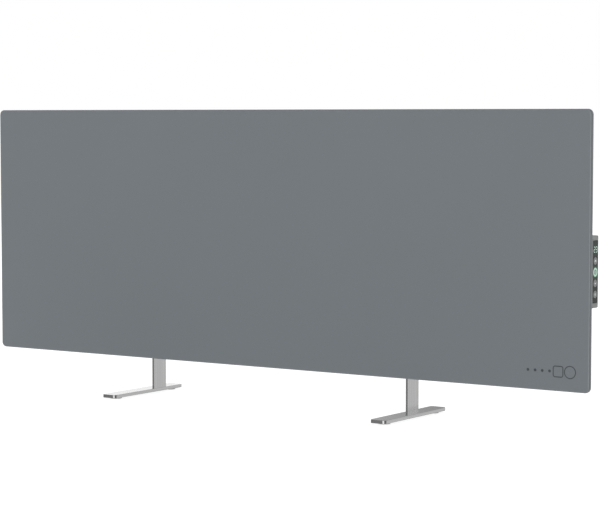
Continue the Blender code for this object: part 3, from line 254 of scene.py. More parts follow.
# Studio
STUDIO_ROUND = (        # degrees from +Y towards -X, and the level that glossy surfaces see there
    (-180, 0.95), (-144, 0.95), (-135, 0.08), (-94, 0.08), (-80, 0.36), (-68, 0.36),
    (-60, 0.26), (-42, 0.55), (-16, 0.55), (-8, 0.22), (29, 0.22), (33, 0.46),
    (36.5, 0.98), (60, 0.98), (75, 0.30), (96, 0.30), (108, 0.08), (126, 0.08),
    (136, 0.19), (148, 0.19), (160, 0.20), (167, 0.95), (180, 0.95),
)
STUDIO_PEAK = max(level for _, level in STUDIO_ROUND)
OVERHEAD_LEVEL = 0.22   # what they see above it
OVERHEAD_RISE = (0.35, 0.7)     # heights of a direction between which that takes over
UNDER_LEVEL = 0.45      # what they see below it
UNDER_RISE = (-0.5, -0.25)      # heights between which that gives way to the cards
SKY_LOW = 0.92          # what matt surfaces are lit by at the horizon
SKY_HIGH = 0.36         # and from straight above
FLOOR_REACH = 15.0
FLOOR_LEVEL = 0.62      # floor's colour as the object sees it
SEEN_FLOOR_LEVEL = 0.34     # as the camera sees it, which takes the shadow
SEEN_FLOOR_GLOW = 0.86      # and the glow that brings it to white
LAMPS = {               # place, size and power
    "key_lamp": ((0.0, -5.4, 0.6), 2.0, 141),
    "rear_fill": ((-2.2, 3.2, 3.4), 1.6, 135),
}

# Shader nodes
NOISE_RANGE = (0.3, 0.7)    # where most of a noise's values lie
MIX_COLOURS = (6, 7)        # inputs of a Mix node that take colours
MIX_COLOUR_RESULT = 2       # and the output that gives one


# Node graphs


def grey(level):
    """Even grey with full alpha."""
    return (level, level, level, 1)


def node(tree, kind, values=(), **settings):
    """Shader node with its settings; values are numbers or other nodes' sockets, by input."""
    made = tree.nodes.new("ShaderNode" + kind)
    for name, value in settings.items():
        setattr(made, name, value)
    for key, value in dict(values).items():
        if isinstance(value, bpy.types.NodeSocket):
            tree.links.new(value, made.inputs[key])
        else:
            made.inputs[key].default_value = value
    return made


def maths(tree, operation, first, second):
    """Result of an operation on two numbers or sockets."""
    return node(tree, "Math", {0: first, 1: second}, operation=operation).outputs[0]


def blended(tree, share, first, second):
    """First number, giving way to the second as the share goes from 0 to 1."""
    return node(tree, "Mix", {"Factor": share, "A": first, "B": second}).outputs["Result"]


def ranged(tree, value, low, high, source=NOISE_RANGE):
    """Value brought from a source range to low and high."""
    values = {"Value": value, "From Min": source[0], "From Max": source[1], "To Min": low, "To Max": high}
    return node(tree, "MapRange", values).outputs["Result"]


def material(name, colour, roughness, metallic=0.0, **sockets):
    """Principled material; other sockets are given by name, with _ for a blank."""
    made = bpy.data.materials.new(name)
    made.use_nodes = True
    made.diffuse_color = (*colour, 1)
    shader = made.node_tree.nodes["Principled BSDF"]
    shader.inputs["Base Color"].default_value = (*colour, 1)
    shader.inputs["Roughness"].default_value = roughness
    shader.inputs["Metallic"].default_value = metallic
    for socket, value in sockets.items():
        shader.inputs[socket.replace("_", " ")].default_value = value
    return made, made.node_tree, shader


def noise(tree, scales, detail):
    """Noise in object space, with its own number of features per metre along each axis."""
    where = node(tree, "TexCoord").outputs["Object"]
    scaled = node(tree, "VectorMath", {0: where, 1: scales}, operation="MULTIPLY").outputs[0]
    return node(tree, "TexNoise", {"Vector": scaled, "Scale": 1.0, "Detail": detail}).outputs["Fac"]


def even_noise(tree, scale, detail=2.0):
    """Noise with as many features per metre along every axis."""
    return noise(tree, (scale, scale, scale), detail)


def drawn_noise(tree, along, scale, lengthwise, detail):
    """Noise drawn out along one axis, where it has fewer features per metre."""
    scales = [scale] * 3
    scales["XYZ".index(along)] = lengthwise
    return noise(tree, scales, detail)


def vary_colour(tree, shader, value, colour, amount):
    """Base colour a little darker and lighter with the value."""
    darker = [part * (1 - amount) for part in colour]
    lighter = [part * (1 + amount) for part in colour]
    values = {
        "Factor": ranged(tree, value, 0.0, 1.0),
        MIX_COLOURS[0]: (*darker, 1),
        MIX_COLOURS[1]: (*lighter, 1),
    }
    mixed = node(tree, "Mix", values, data_type="RGBA")
    tree.links.new(mixed.outputs[MIX_COLOUR_RESULT], shader.inputs["Base Color"])


def vary_roughness(tree, shader, value, roughness, less, more):
    """Roughness a little under and over its level with the value."""
    tree.links.new(ranged(tree, value, roughness - less, roughness + more), shader.inputs["Roughness"])


def bump(tree, shader, height, strength, distance, under=None):
    """Bump from a height, over an earlier bump where there is one."""
    values = {"Height": height, "Strength": strength, "Distance": distance}
    if under:
        values["Normal"] = under
    normal = node(tree, "Bump", values).outputs[0]
    tree.links.new(normal, shader.inputs["Normal"])
    return normal


# Finishes, with noises in features per metre and bumps in metres


def powder_coat(name, colour, roughness):
    """Fine orange peel with a slow drift in colour and gloss."""
    made, tree, shader = material(
        name, colour, roughness, Coat_Weight=1.0, Coat_Roughness=0.12, Coat_IOR=1.85)
    drift = even_noise(tree, scale=4.0, detail=3.0)
    vary_colour(tree, shader, drift, colour, amount=0.012)
    grain = even_noise(tree, scale=1400.0)
    vary_roughness(tree, shader, grain, roughness, less=0.04, more=0.05)
    peel = even_noise(tree, scale=420.0, detail=1.0)
    under = bump(tree, shader, peel, strength=0.25, distance=0.00006)
    bump(tree, shader, grain, strength=0.30, distance=0.00003, under=under)
    return made


def brushed_metal(name, colour, roughness, along):
    """Satin metal with brush lines along one axis."""
    made, tree, shader = material(name, colour, roughness, metallic=1.0)
    lines = drawn_noise(tree, along, scale=2600.0, lengthwise=18.0, detail=1.0)
    streaks = drawn_noise(tree, along, scale=420.0, lengthwise=6.0, detail=2.0)
    vary_colour(tree, shader, streaks, colour, amount=0.05)
    vary_roughness(tree, shader, lines, roughness, less=0.03, more=0.04)
    bump(tree, shader, lines, strength=0.10, distance=0.000006)
    return made


def plated_metal(name, colour, roughness):
    """Plated finish with soft patches."""
    made, tree, shader = material(name, colour, roughness, metallic=1.0)
    patches = even_noise(tree, scale=900.0, detail=3.0)
    vary_colour(tree, shader, patches, colour, amount=0.06)
    vary_roughness(tree, shader, patches, roughness, less=0.06, more=0.08)
    bump(tree, shader, patches, strength=0.12, distance=0.00003)
    return made


def moulded_plastic(name, colour, roughness, grain=3200.0, depth=0.00003):
    """Moulded plastic with a fine spark-eroded texture."""
    made, tree, shader = material(name, colour, roughness)
    texture = even_noise(tree, scale=grain)
    drift = even_noise(tree, scale=90.0)
    vary_colour(tree, shader, drift, colour, amount=0.025)
    vary_roughness(tree, shader, texture, roughness, less=0.05, more=0.06)
    bump(tree, shader, texture, strength=0.4, distance=depth)
    return made


def glowing(name, colour, strength):
    """Lit print or light guide, a little uneven."""
    made, tree, shader = material(name, colour, roughness=0.35)
    shader.inputs["Emission Color"].default_value = (*colour, 1)
    patches = even_noise(tree, scale=700.0)
    least, most = GLOW_PATCHES
    power = ranged(tree, patches, strength * least, strength * most)
    tree.links.new(power, shader.inputs["Emission Strength"])
    return made


def dark_lens(name, glows):
    """Dark gloss strip that carries the green glow of the lights near them."""
    made, tree, shader = material(name, LENS_BLACK, LENS_ROUGHNESS)
    smears = even_noise(tree, scale=160.0, detail=3.0)
    vary_roughness(tree, shader, smears, LENS_ROUGHNESS, less=0.03, more=0.04)
    shader.inputs["Emission Color"].default_value = (*LENS_GLOW, 1)
    where = node(tree, "TexCoord").outputs["Object"]
    total = 0.0
    for middle, reach, power in glows:
        away = node(tree, "VectorMath", {0: where, 1: middle}, operation="DISTANCE").outputs["Value"]
        near = ranged(tree, away, 1.0, 0.0, source=(0.0, reach))
        soft = maths(tree, "POWER", near, GLOW_FALL)
        total = maths(tree, "ADD", total, maths(tree, "MULTIPLY", soft, power))
    tree.links.new(total, shader.inputs["Emission Strength"])
    return made


# Outlines


def middle_of(name):
    """Middle of a CAD node's box, as plain x, y and z."""
    low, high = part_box(name)
    return [(first + second) / 2 for first, second in zip(low, high)]


def arc(middle_u, middle_v, radius, start, end, steps):
    """Points round part of a circle, from the start angle to the end angle in degrees."""
    points = []
    for step in range(steps + 1):
        angle = math.radians(start + (end - start) * step / steps)
        points.append((middle_u + radius * math.cos(angle), middle_v + radius * math.sin(angle)))
    return points


def circle(middle_u, middle_v, diameter, steps):
    """Points once round a circle."""
    return arc(middle_u, middle_v, diameter / 2, 0, 360, steps)[:-1]


def rounded_outline(width, height, radius, steps=CORNER_STEPS):
    """Rectangle with round corners, counter-clockwise from its lower right corner."""
    points = []
    for quarter, (sign_u, sign_v) in enumerate(((1, -1), (1, 1), (-1, 1), (-1, -1))):
        start = 90 * (quarter - 1)
        corner = (sign_u * (width / 2 - radius), sign_v * (height / 2 - radius))
        points += arc(*corner, radius, start, start + 90, steps)
    return points


def eased(share):
    """Smooth rise from 0 to 1."""
    return (1 - math.cos(math.pi * share)) / 2


# Meshes


def skin(shape, rings):
    """Join rings of equally many vertices with quads and return their vertices."""
    made = [[shape.verts.new(point) for point in ring] for ring in rings]
    for first, second in zip(made, made[1:]):
        for index in range(len(first)):
            shape.faces.new((first[index - 1], first[index], second[index], second[index - 1]))
    return made


def loop_edges(shape, verts):
    """Edges of a closed loop of vertices."""
    return [shape.edges.get((verts[index - 1], verts[index])) for index in range(len(verts))]


def lofted(rings):
    """Closed solid through rings, with a flat face on each end."""
    shape = bmesh.new()
    made = skin(shape, rings)
    shape.faces.new(made[0])
    shape.faces.new(made[-1])
    return shape


def block(low, high):
    """Box between two corners."""
    ring = [(low[0], low[1]), (high[0], low[1]), (high[0], high[1]), (low[0], high[1])]
    return lofted([[(u, v, level) for u, v in ring] for level in (low[2], high[2])])


def turned(profile, middle, axis, steps=TURNED_STEPS):
    """Solid turned about an axis, from (radius, distance along the axis) points."""
    shape = bmesh.new()
    verts = [shape.verts.new((radius, 0, along)) for radius, along in profile]
    edges = [shape.edges.new(pair) for pair in zip(verts, verts[1:])]
    bmesh.ops.spin(shape, geom=verts + edges, cent=(0, 0, 0), axis=(0, 0, 1),
                   angle=math.tau, steps=steps, use_merge=True)
    bmesh.ops.remove_doubles(shape, verts=shape.verts, dist=MERGE)
    turn = Vector((0, 0, 1)).rotation_difference(Vector(axis)).to_matrix().to_4x4()
    bmesh.ops.transform(shape, matrix=Matrix.Translation(middle) @ turn, verts=shape.verts)
    return shape


def rod(diameter, start, end, steps=TURNED_STEPS):
    """Plain cylinder between two points."""
    along = Vector(end) - Vector(start)
    profile = ((0, 0), (diameter / 2, 0), (diameter / 2, along.length), (0, along.length))
    return turned(profile, start, along, steps)


def mesh_from(shape, name):
    """Mesh of a shape with its faces turned outwards; the shape is used up."""
    bmesh.ops.recalc_face_normals(shape, faces=shape.faces)
    mesh = bpy.data.meshes.new(name)
    shape.to_mesh(mesh)
    shape.free()
    return mesh


def cut(shape, *cutters):
    """Shape with the cutters taken away by an exact Boolean."""
    gathered = bmesh.new()
    for cutter in cutters:
        piece = mesh_from(cutter, "cutter")
        gathered.from_mesh(piece)
        bpy.data.meshes.remove(piece)
    made = []
    for mesh in (mesh_from(shape, "cut"), mesh_from(gathered, "cutters")):
        operand = bpy.data.objects.new(mesh.name, mesh)
        bpy.context.collection.objects.link(operand)
        made.append(operand)
    step = made[0].modifiers.new("cut", "BOOLEAN")
    step.operation = "DIFFERENCE"
    step.solver = "EXACT"
    step.object = made[1]
    bpy.context.view_layer.update()
    evaluated = made[0].evaluated_get(bpy.context.evaluated_depsgraph_get())
    result = bmesh.new()
    result.from_mesh(evaluated.to_mesh())
    evaluated.to_mesh_clear()
    for operand in made:
        mesh = operand.data
        bpy.data.objects.remove(operand, do_unlink=True)
        bpy.data.meshes.remove(mesh)
    bmesh.ops.remove_doubles(result, verts=result.verts, dist=MERGE)
    return result


def place(name, shape, finish, body=HEATER, stands_for=(), sharp=SHARP_ANGLE):
    """Finished piece that rides on a body and may stand for CAD nodes."""
    mesh = mesh_from(shape, name)
    mesh.materials.append(finish)
    mesh.shade_smooth()
    mesh.set_sharp_from_angle(angle=math.radians(sharp))
    piece = bpy.data.objects.new(name, mesh)
    bpy.context.collection.objects.link(piece)
    weighted = piece.modifiers.new("weighted", "WEIGHTED_NORMAL")
    weighted.keep_sharp = True
    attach(piece, body)
    if stands_for:
        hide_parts(*stands_for)


def dress(node_name, shape, finish, body=HEATER, sharp=SHARP_ANGLE):
    """Fine piece in place of a CAD node, which it hides, with the given finish."""
    place(node_name + "_fine", shape, finish, body, (node_name,), sharp)


def refine(node_name, finish, edge, segments=EDGE_STEPS, sharp=SHARP_ANGLE):
    """Copy of a CAD node with merged faces, softened edges and smooth shading."""
    shape = bmesh.new()
    shape.from_mesh(frame["nodes"][node_name].data)
    bmesh.ops.remove_doubles(shape, verts=shape.verts, dist=MERGE)
    bmesh.ops.dissolve_limit(
        shape, angle_limit=math.radians(FLAT_ANGLE), verts=shape.verts, edges=shape.edges)
    bmesh.ops.recalc_face_normals(shape, faces=shape.faces)
    steep = [side for side in shape.edges if side.calc_face_angle(0) > math.radians(STEEP_ANGLE)]
    bmesh.ops.bevel(shape, geom=steep, offset=edge, segments=segments, profile=0.5,
                    affect="EDGES", clamp_overlap=True)
    dress(node_name, shape, finish, sharp=sharp)


# Front panel


def panel_ring(inset, depth):
    """Panel outline drawn in by an inset, at a depth behind the face."""
    radius = max(PANEL_CORNER - inset, PANEL_SKIN)
    outline = rounded_outline(PANEL_WIDTH - 2 * inset, PANEL_HEIGHT - 2 * inset, radius)
    return [(u, FACE_Y + depth, v + MIDDLE_Z) for u, v in outline]


def make_front_panel(finish):
    """Pan with a rolled front bend and a flange turned in behind it."""
    section = arc(PANEL_BEND, PANEL_BEND, PANEL_BEND, 270, 180, BEND_STEPS)
    section += arc(PANEL_SKIN, PANEL_DEPTH - PANEL_SKIN, PANEL_SKIN, 180, 90, BEND_STEPS)
    section += [
        (RETURN_WIDTH, PANEL_DEPTH),
        (RETURN_WIDTH, PANEL_DEPTH - PANEL_SKIN),
        (PANEL_SKIN, PANEL_DEPTH - PANEL_SKIN),
    ]
    section += arc(PANEL_BEND, PANEL_BEND, PANEL_BEND - PANEL_SKIN, 180, 270, BEND_STEPS)
    shape = lofted([panel_ring(inset, depth) for inset, depth in section])
    holes = screw_holes("cover_screw", "housing_screw",
                        low=RETURN_Y - PANEL_SKIN - OVERRUN, high=RETURN_Y + OVERRUN)
    dress("front_panel", cut(shape, *holes), finish)


# Screws


def screw_nodes(kind):
    """Nodes of one kind of screw."""
    return [name for name in sorted(frame["nodes"]) if kind in name]


def screw_holes(*kinds, low, high):
    """Cutters round the shanks of the screws, between two places in depth."""
    holes = []
    for kind in kinds:
        shank = SCREW_KINDS[kind][1]
        for name in screw_nodes(kind):
            x, _, z = middle_of(name)
            holes.append(rod(shank + 2 * HOLE_CLEARANCE, (x, low, z), (x, high, z), HOLE_STEPS))
    return holes


def screw_profile(head, head_height, shank, length):
    """Half outline of a pan-head screw, from its tip to its dome, with its seat at 0."""
    radius = head / 2
    flat = radius * HEAD_FLAT_SHARE
    points = [
        (0, -length),
        (shank / 2 - GAP, -length),
        (shank / 2, -length + GAP),
        (shank / 2, 0),
        (radius, 0),
    ]
    for across, up in arc(0, 0, 1, 0, 90, BEND_STEPS):
        height = HEAD_WALL_SHARE + (1 - HEAD_WALL_SHARE) * up
        points.append((flat + (radius - flat) * across, head_height * height))
    points.append((0, head_height))
    return points


def make_screws(finish):
    """Pan-head screws with a domed head and a cross recess, heads to the rear."""
    for kind, (head_height, shank) in SCREW_KINDS.items():
        for name in screw_nodes(kind):
            low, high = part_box(name)
            x, _, z = middle_of(name)
            head = high.x - low.x
            seat = high.y - head_height
            profile = screw_profile(head, head_height, shank, seat - low.y)
            shape = turned(profile, (x, seat, z), (0, 1, 0), SCREW_STEPS)
            reach = head * RECESS_REACH_SHARE
            slim = reach * RECESS_SLIM_SHARE
            for across, up in ((reach, slim), (slim, reach)):
                arm = block((x - across, high.y - RECESS_DEPTH, z - up),
                            (x + across, high.y + RECESS_DEPTH, z + up))
                shape = cut(shape, arm)
            dress(name, shape, finish)


# Rear cover


def cover_ring(grow, y):
    """Outline of the cover's box, grown outwards, at a place in depth."""
    outline = rounded_outline(BOX_WIDTH + 2 * grow, BOX_HEIGHT + 2 * grow, COVER_CORNER + grow)
    return [(u, y, v + MIDDLE_Z) for u, v in outline]


def cover_rim():
    """Outer edge of the rim that lies on the return flange."""
    outline = rounded_outline(PANEL_WIDTH - 2 * COVER_RIM_INSET, PANEL_HEIGHT - 2 * COVER_RIM_INSET,
                              PANEL_CORNER - COVER_RIM_INSET)
    return [(u, RIM_Y, v + MIDDLE_Z) for u, v in outline]


def louvre_columns(low, high):
    """Places across a bank, each with its share of the rise and whether a slot follows."""
    count = int((high - low - LOUVRE_LENGTH) / LOUVRE_PITCH) + 1
    used = (count - 1) * LOUVRE_PITCH + LOUVRE_LENGTH
    start = (low + high - used) / 2
    shares = [step / LOUVRE_STEPS for step in range(LOUVRE_STEPS + 1)]
    columns = [(start - LOUVRE_MARGIN, 0, False)]
    for index in range(count):
        left = start + index * LOUVRE_PITCH
        right = left + LOUVRE_LENGTH
        for share in shares:
            columns.append((left + share * LOUVRE_END, math.sin(math.pi / 2 * share), True))
        for share in shares:
            x = right - (1 - share) * LOUVRE_END
            columns.append((x, math.cos(math.pi / 2 * share), share < 1))
    columns.append((start + used + LOUVRE_MARGIN, 0, False))
    return columns


def louvre_lines(top):
    """Heights down a bank, each with its share of the rise and whether a slot follows."""
    lines = [(top + LOUVRE_MARGIN, 0, False)]
    for row in range(LOUVRE_ROWS):
        crown = top - row * LOUVRE_ROW_PITCH
        for step in range(LOUVRE_STEPS + 1):
            share = step / LOUVRE_STEPS
            rise = eased(share) if share < 0.5 else math.sin(math.pi / 2 * share) * eased(share)
            lines.append((crown - share * LOUVRE_HEIGHT, min(rise, 1), step == LOUVRE_STEPS))
        lines.append((crown - LOUVRE_HEIGHT - LOUVRE_SLOT, 0, False))
    lines.append((lines[-1][0] - LOUVRE_MARGIN, 0, False))
    return lines


def press_bank(shape, low, high, top):
    """Grid of louvre hoods with open slots, returned as the bank's outer edges."""
    columns = louvre_columns(low, high)
    lines = louvre_lines(top)
    grid = [[shape.verts.new((x, BACK_Y + LOUVRE_RISE * across * down, z))
             for x, across, _ in columns] for z, down, _ in lines]
    for row, (_, _, slot_below) in enumerate(lines[:-1]):
        for column, (_, _, inside) in enumerate(columns[:-1]):
            if slot_below and inside:
                continue
            shape.faces.new((grid[row][column], grid[row][column + 1],
                             grid[row + 1][column + 1], grid[row + 1][column]))
    right = [line[-1] for line in grid]
    left = [line[0] for line in grid]
    return loop_edges(shape, grid[0] + right[1:] + grid[-1][-2::-1] + left[-2:0:-1])


def louvre_banks():
    """Low and high end and top of each bank of louvres."""
    reach = BOX_SIDE_X - BANK_SIDE_MARGIN
    bank_height = (LOUVRE_ROWS - 1) * LOUVRE_ROW_PITCH + LOUVRE_HEIGHT + LOUVRE_SLOT
    upper = BOX_TOP_Z - BANK_INSET
    lower = BOX_BOTTOM_Z + BANK_INSET + bank_height
    leg_inner = LEG_MIDDLE - LEG_CLEAR_WIDTH / 2
    leg_outer = LEG_MIDDLE + LEG_CLEAR_WIDTH / 2
    return (
        (-reach, reach, upper),
        (-reach, -leg_outer, lower),
        (-leg_inner, leg_inner, lower),
        (leg_outer, reach, lower),
    )


def cover_cutters():
    """Cutters for the cover's screws, its cable entry and its notch for the control housing."""
    rim_front = RIM_Y - COVER_SKIN - OVERRUN
    cutters = screw_holes("cover_screw", low=rim_front, high=RIM_Y + OVERRUN)
    cutters += screw_holes("leg_screw", low=INSIDE_Y - OVERRUN, high=BACK_Y + OVERRUN)
    x, _, z = middle_of("cable_entry")
    cutters.append(rod(ENTRY_HOLE, (x, INSIDE_Y - OVERRUN, z), (x, BACK_Y + OVERRUN, z)))
    low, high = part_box("control_housing")
    cutters.append(block((BOX_SIDE_X + GAP, rim_front, low.z - GAP),
                         (high.x + OVERRUN, RIM_Y + COVER_BEND + OVERRUN, high.z + GAP)))
    return cutters


def make_rear_cover(finish):
    """Folded box with pressed louvres, notched for the control housing."""
    shape = bmesh.new()
    foot = [cover_ring(COVER_BEND - across, RIM_Y + COVER_BEND - up)
            for across, up in arc(0, 0, COVER_BEND, 90, 0, BEND_STEPS)]
    top = [cover_ring(-COVER_BEND + across, BACK_Y - COVER_BEND + up)
           for across, up in arc(0, 0, COVER_BEND, 0, 90, BEND_STEPS)]
    rings = skin(shape, [cover_rim(), *foot, *top])
    edges = loop_edges(shape, rings[-1])
    for bank in louvre_banks():
        edges += press_bank(shape, *bank)
    bmesh.ops.triangle_fill(shape, use_beauty=True, edges=edges)
    bmesh.ops.recalc_face_normals(shape, faces=shape.faces)
    if sum(face.normal.y * face.calc_area() for face in shape.faces) < 0:
        bmesh.ops.reverse_faces(shape, faces=shape.faces)
    bmesh.ops.solidify(shape, geom=shape.faces[:], thickness=COVER_SKIN)
    dress("rear_cover", cut(shape, *cover_cutters()), finish)


def make_cable_entry(finish):
    """Closed rubber grommet with a rounded flange and a thin middle that a cable would pierce."""
    low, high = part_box("cable_entry")
    x, _, z = middle_of("cable_entry")
    rim = (high.x - low.x) / 2
    top = high.y - low.y
    neck = ENTRY_HOLE / 2 - GAP
    inner = ENTRY_INNER_FLANGE / 2
    dimple = ENTRY_DIMPLE / 2
    under = top - ENTRY_FLANGE_THICKNESS
    ease = ENTRY_FLANGE_THICKNESS / 2
    profile = [
        (0, 0),
        (inner, 0),
        (inner, ENTRY_INNER_THICKNESS),
        (neck, ENTRY_INNER_THICKNESS),
        (neck, under),
    ]
    profile += arc(rim - ease, under + ease, ease, -90, 90, BEND_STEPS)
    profile += arc(dimple + ease, top - ease, ease, 90, 180, BEND_STEPS)
    profile += [(dimple, top - ENTRY_DIMPLE_DEPTH), (0, top - ENTRY_DIMPLE_DEPTH)]
    dress("cable_entry", turned(profile, (x, low.y, z), (0, 1, 0)), finish)


# Legs


def upright_start(side):
    """Lower x of an upright's plate, which stands on the inner edge of its foot."""
    low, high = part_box(side + "_upright")
    return low.x if side == "right" else high.x - UPRIGHT_THICKNESS


def foot_rings(low, high):
    """Outlines of a foot from its underside to its top, with softened edges."""
    middle = (low + high) / 2
    height = high.z - low.z
    edge = arc(FOOT_EDGE, FOOT_EDGE, FOOT_EDGE, 270, 180, BEND_STEPS)
    rings = []
    for inset, up in edge + [(inset, height - drop) for inset, drop in reversed(edge)]:
        outline = rounded_outline(
            high.x - low.x - 2 * inset, high.y - low.y - 2 * inset, FOOT_CORNER - inset)
        rings.append([(u + middle.x, v + middle.y, low.z + up) for u, v in outline])
    return rings


def make_feet(finish):
    """Flat bars with round corners and softened edges, slotted for the uprights' tenons."""
    first = UPRIGHT_FRONT_Y + TENON_INSET
    last = UPRIGHT_FRONT_Y + UPRIGHT_DEPTH - TENON_INSET - TENON_LENGTH
    for side in SIDES:
        low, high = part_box(side + "_foot")
        left = upright_start(side) - TENON_FIT
        right = upright_start(side) + UPRIGHT_THICKNESS + TENON_FIT
        slots = [block((left, start - TENON_FIT, low.z - OVERRUN),
                       (right, start + TENON_LENGTH + TENON_FIT, high.z + OVERRUN))
                 for start in (first, last)]
        dress(side + "_foot", cut(lofted(foot_rings(low, high)), *slots), finish)


def make_welds(finish):
    """Thin weld line between each upright's shoulder and its foot."""
    front = UPRIGHT_FRONT_Y + TENON_FIT
    rear = UPRIGHT_FRONT_Y + UPRIGHT_DEPTH - TENON_FIT
    for side in SIDES:
        left = upright_start(side) + TENON_FIT
        right = upright_start(side) + UPRIGHT_THICKNESS - TENON_FIT
        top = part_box(side + "_foot")[1].z
        shape = block((left, front, top - TENON_FIT), (right, rear, top + GAP + TENON_FIT))
        place(side + "_weld_line", shape, finish)


# Keys and light ring


def key_middle(name):
    """Middle of a key's face."""
    _, y, z = middle_of(name)
    return Vector((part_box(name)[1].x, y, z))


def key_profile(radius, seat, top):
    """Half outline of a key: stem, collar, rounded edge and shallow dish."""
    start = seat - KEY_COLLAR_THICKNESS
    points = [
        (0, 0),
        (KEY_STEM / 2, 0),
        (KEY_STEM / 2, start),
        (KEY_COLLAR / 2, start),
        (KEY_COLLAR / 2, seat),
        (radius, seat),
    ]
    points += arc(radius - KEY_EDGE, top - KEY_EDGE, KEY_EDGE, 0, 90, BEND_STEPS)
    flat = radius * DISH_FLAT_SHARE
    run = radius - KEY_EDGE - flat
    for step in range(1, BEND_STEPS + 1):
        share = step / BEND_STEPS
        points.append((flat + run * (1 - share), top - KEY_DISH * eased(share)))
    points.append((0, top - KEY_DISH))
    return points


def make_keys(finish):
    """Turned keys, each with its collar just behind the piece that keeps it in."""
    for name, body in KEY_BODIES.items():
        low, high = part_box(name)
        is_power = name == "key_power"
        radius = (POWER_KEY_DIAMETER if is_power else KEY_DIAMETER) / 2
        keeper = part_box("power_ring" if is_power else "control_lens")[0].x
        profile = key_profile(radius, keeper - GAP - low.x, high.x - low.x)
        middle = key_middle(name)
        shape = turned(profile, (low.x, middle.y, middle.z), (1, 0, 0))
        dress(name, shape, finish, body)


def make_power_ring(finish):
    """Light guide round the power key."""
    low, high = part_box("power_ring")
    _, y, z = middle_of("power_ring")
    flange = (high.y - low.y) / 2
    outer = flange - RING_FLANGE_REACH
    inner = POWER_KEY_DIAMETER / 2 + GAP
    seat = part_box("control_lens")[0].x - GAP - low.x
    top = high.x - low.x
    profile = [(inner, 0), (flange, 0), (flange, seat), (outer, seat)]
    profile += arc(outer - RING_EDGE, top - RING_EDGE, RING_EDGE, 0, 90, BEND_STEPS)
    profile += [(inner, top), (inner, 0)]
    dress("power_ring", turned(profile, (low.x, y, z), (1, 0, 0)), finish)


# Flat signs, digits and marks


def strip(shape, points, width, closed=False):
    """Flat band of a width along points in a plane, mitred where it turns."""
    count = len(points)
    sides = []
    for index, point in enumerate(points):
        ahead = points[(index + 1) % count] if closed or index < count - 1 else point
        behind = points[index - 1] if closed or index > 0 else point
        along = Vector((ahead[0] - behind[0], ahead[1] - behind[1])).normalized()
        aside = Vector((-along.y, along.x)) * width / 2
        if closed or 0 < index < count - 1:
            first = Vector((point[0] - behind[0], point[1] - behind[1])).normalized()
            square = Vector((-first.y, first.x))
            aside /= max(abs(square.dot(aside.normalized())), MITRE_LIMIT)
        middle = Vector(point)
        sides.append([shape.verts.new((*corner, 0)) for corner in (middle + aside, middle - aside)])
    pairs = list(zip(sides, sides[1:]))
    if closed:
        pairs.append((sides[-1], sides[0]))
    for (left, right), (next_left, next_right) in pairs:
        shape.faces.new((left, right, next_right, next_left))


def raise_flat(shape, thickness, to_side, to_up, outward, origin):
    """Give a flat shape a thickness and set it on a face."""
    grown = bmesh.ops.extrude_face_region(shape, geom=shape.faces[:])
    lifted = [item for item in grown["geom"] if isinstance(item, bmesh.types.BMVert)]
    bmesh.ops.translate(shape, verts=lifted, vec=(0, 0, thickness))
    turn = Matrix((to_side, to_up, outward)).transposed().to_4x4()
    bmesh.ops.transform(shape, matrix=Matrix.Translation(origin) @ turn, verts=shape.verts)


def set_in_side(shape, origin):
    """Set a flat shape half sunk in a face that looks along +X, its u axis to the rear."""
    sunk = Vector(origin) - Vector((SIGN_THICKNESS / 2, 0, 0))
    raise_flat(shape, SIGN_THICKNESS, (0, 1, 0), (0, 0, 1), (1, 0, 0), sunk)


def power_sign(shape):
    """Open ring with a bar in its gap."""
    ring = arc(0, -POWER_SIGN_DROP, POWER_SIGN_RADIUS, *POWER_SIGN_SPAN, POWER_SIGN_STEPS)
    strip(shape, ring, POWER_SIGN_LINE)
    strip(shape, [(0, height) for height in POWER_SIGN_BAR], POWER_SIGN_LINE)


def menu_sign(shape):
    """Three bars."""
    for height in (-MENU_PITCH, 0, MENU_PITCH):
        strip(shape, [(-MENU_REACH, height), (MENU_REACH, height)], MENU_LINE)


def arrow_sign(shape, way):
    """Arrow head that points up or down, by a way of 1 or -1."""
    rise = ARROW_RISE * way
    strip(shape, [(-ARROW_REACH, -rise), (0, rise), (ARROW_REACH, -rise)], ARROW_LINE)


def make_signs(finishes_by_key):
    """Lit sign on each key, which moves with it."""
    for name, body in KEY_BODIES.items():
        shape = bmesh.new()
        if name == "key_power":
            power_sign(shape)
        elif name == "key_menu":
            menu_sign(shape)
        else:
            arrow_sign(shape, 1 if name == "key_up" else -1)
        set_in_side(shape, key_middle(name) - Vector((KEY_DISH, 0, 0)))
        place(name + "_sign", shape, finishes_by_key[name], body)


def make_digits(finish):
    """Two lit seven-segment digits in the lens, over the display module."""
    _, y, z = middle_of("display_module")
    width = DIGIT_WIDTH - DIGIT_LINE
    height = DIGIT_HEIGHT - DIGIT_LINE
    shape = bmesh.new()
    for index, digit in enumerate(DIGITS):
        shift = (index - (len(DIGITS) - 1) / 2) * DIGIT_PITCH
        for segment in LIT_SEGMENTS[digit]:
            start, end = [Vector((u * width + shift, v * height / 2)) for u, v in SEGMENTS[segment]]
            trim = (end - start).normalized() * SEGMENT_TRIM
            strip(shape, [tuple(start + trim), tuple(end - trim)], DIGIT_LINE)
    set_in_side(shape, (LENS_FACE_X, y, z + DIGIT_RAISE))
    place("display_digits", shape, finish)


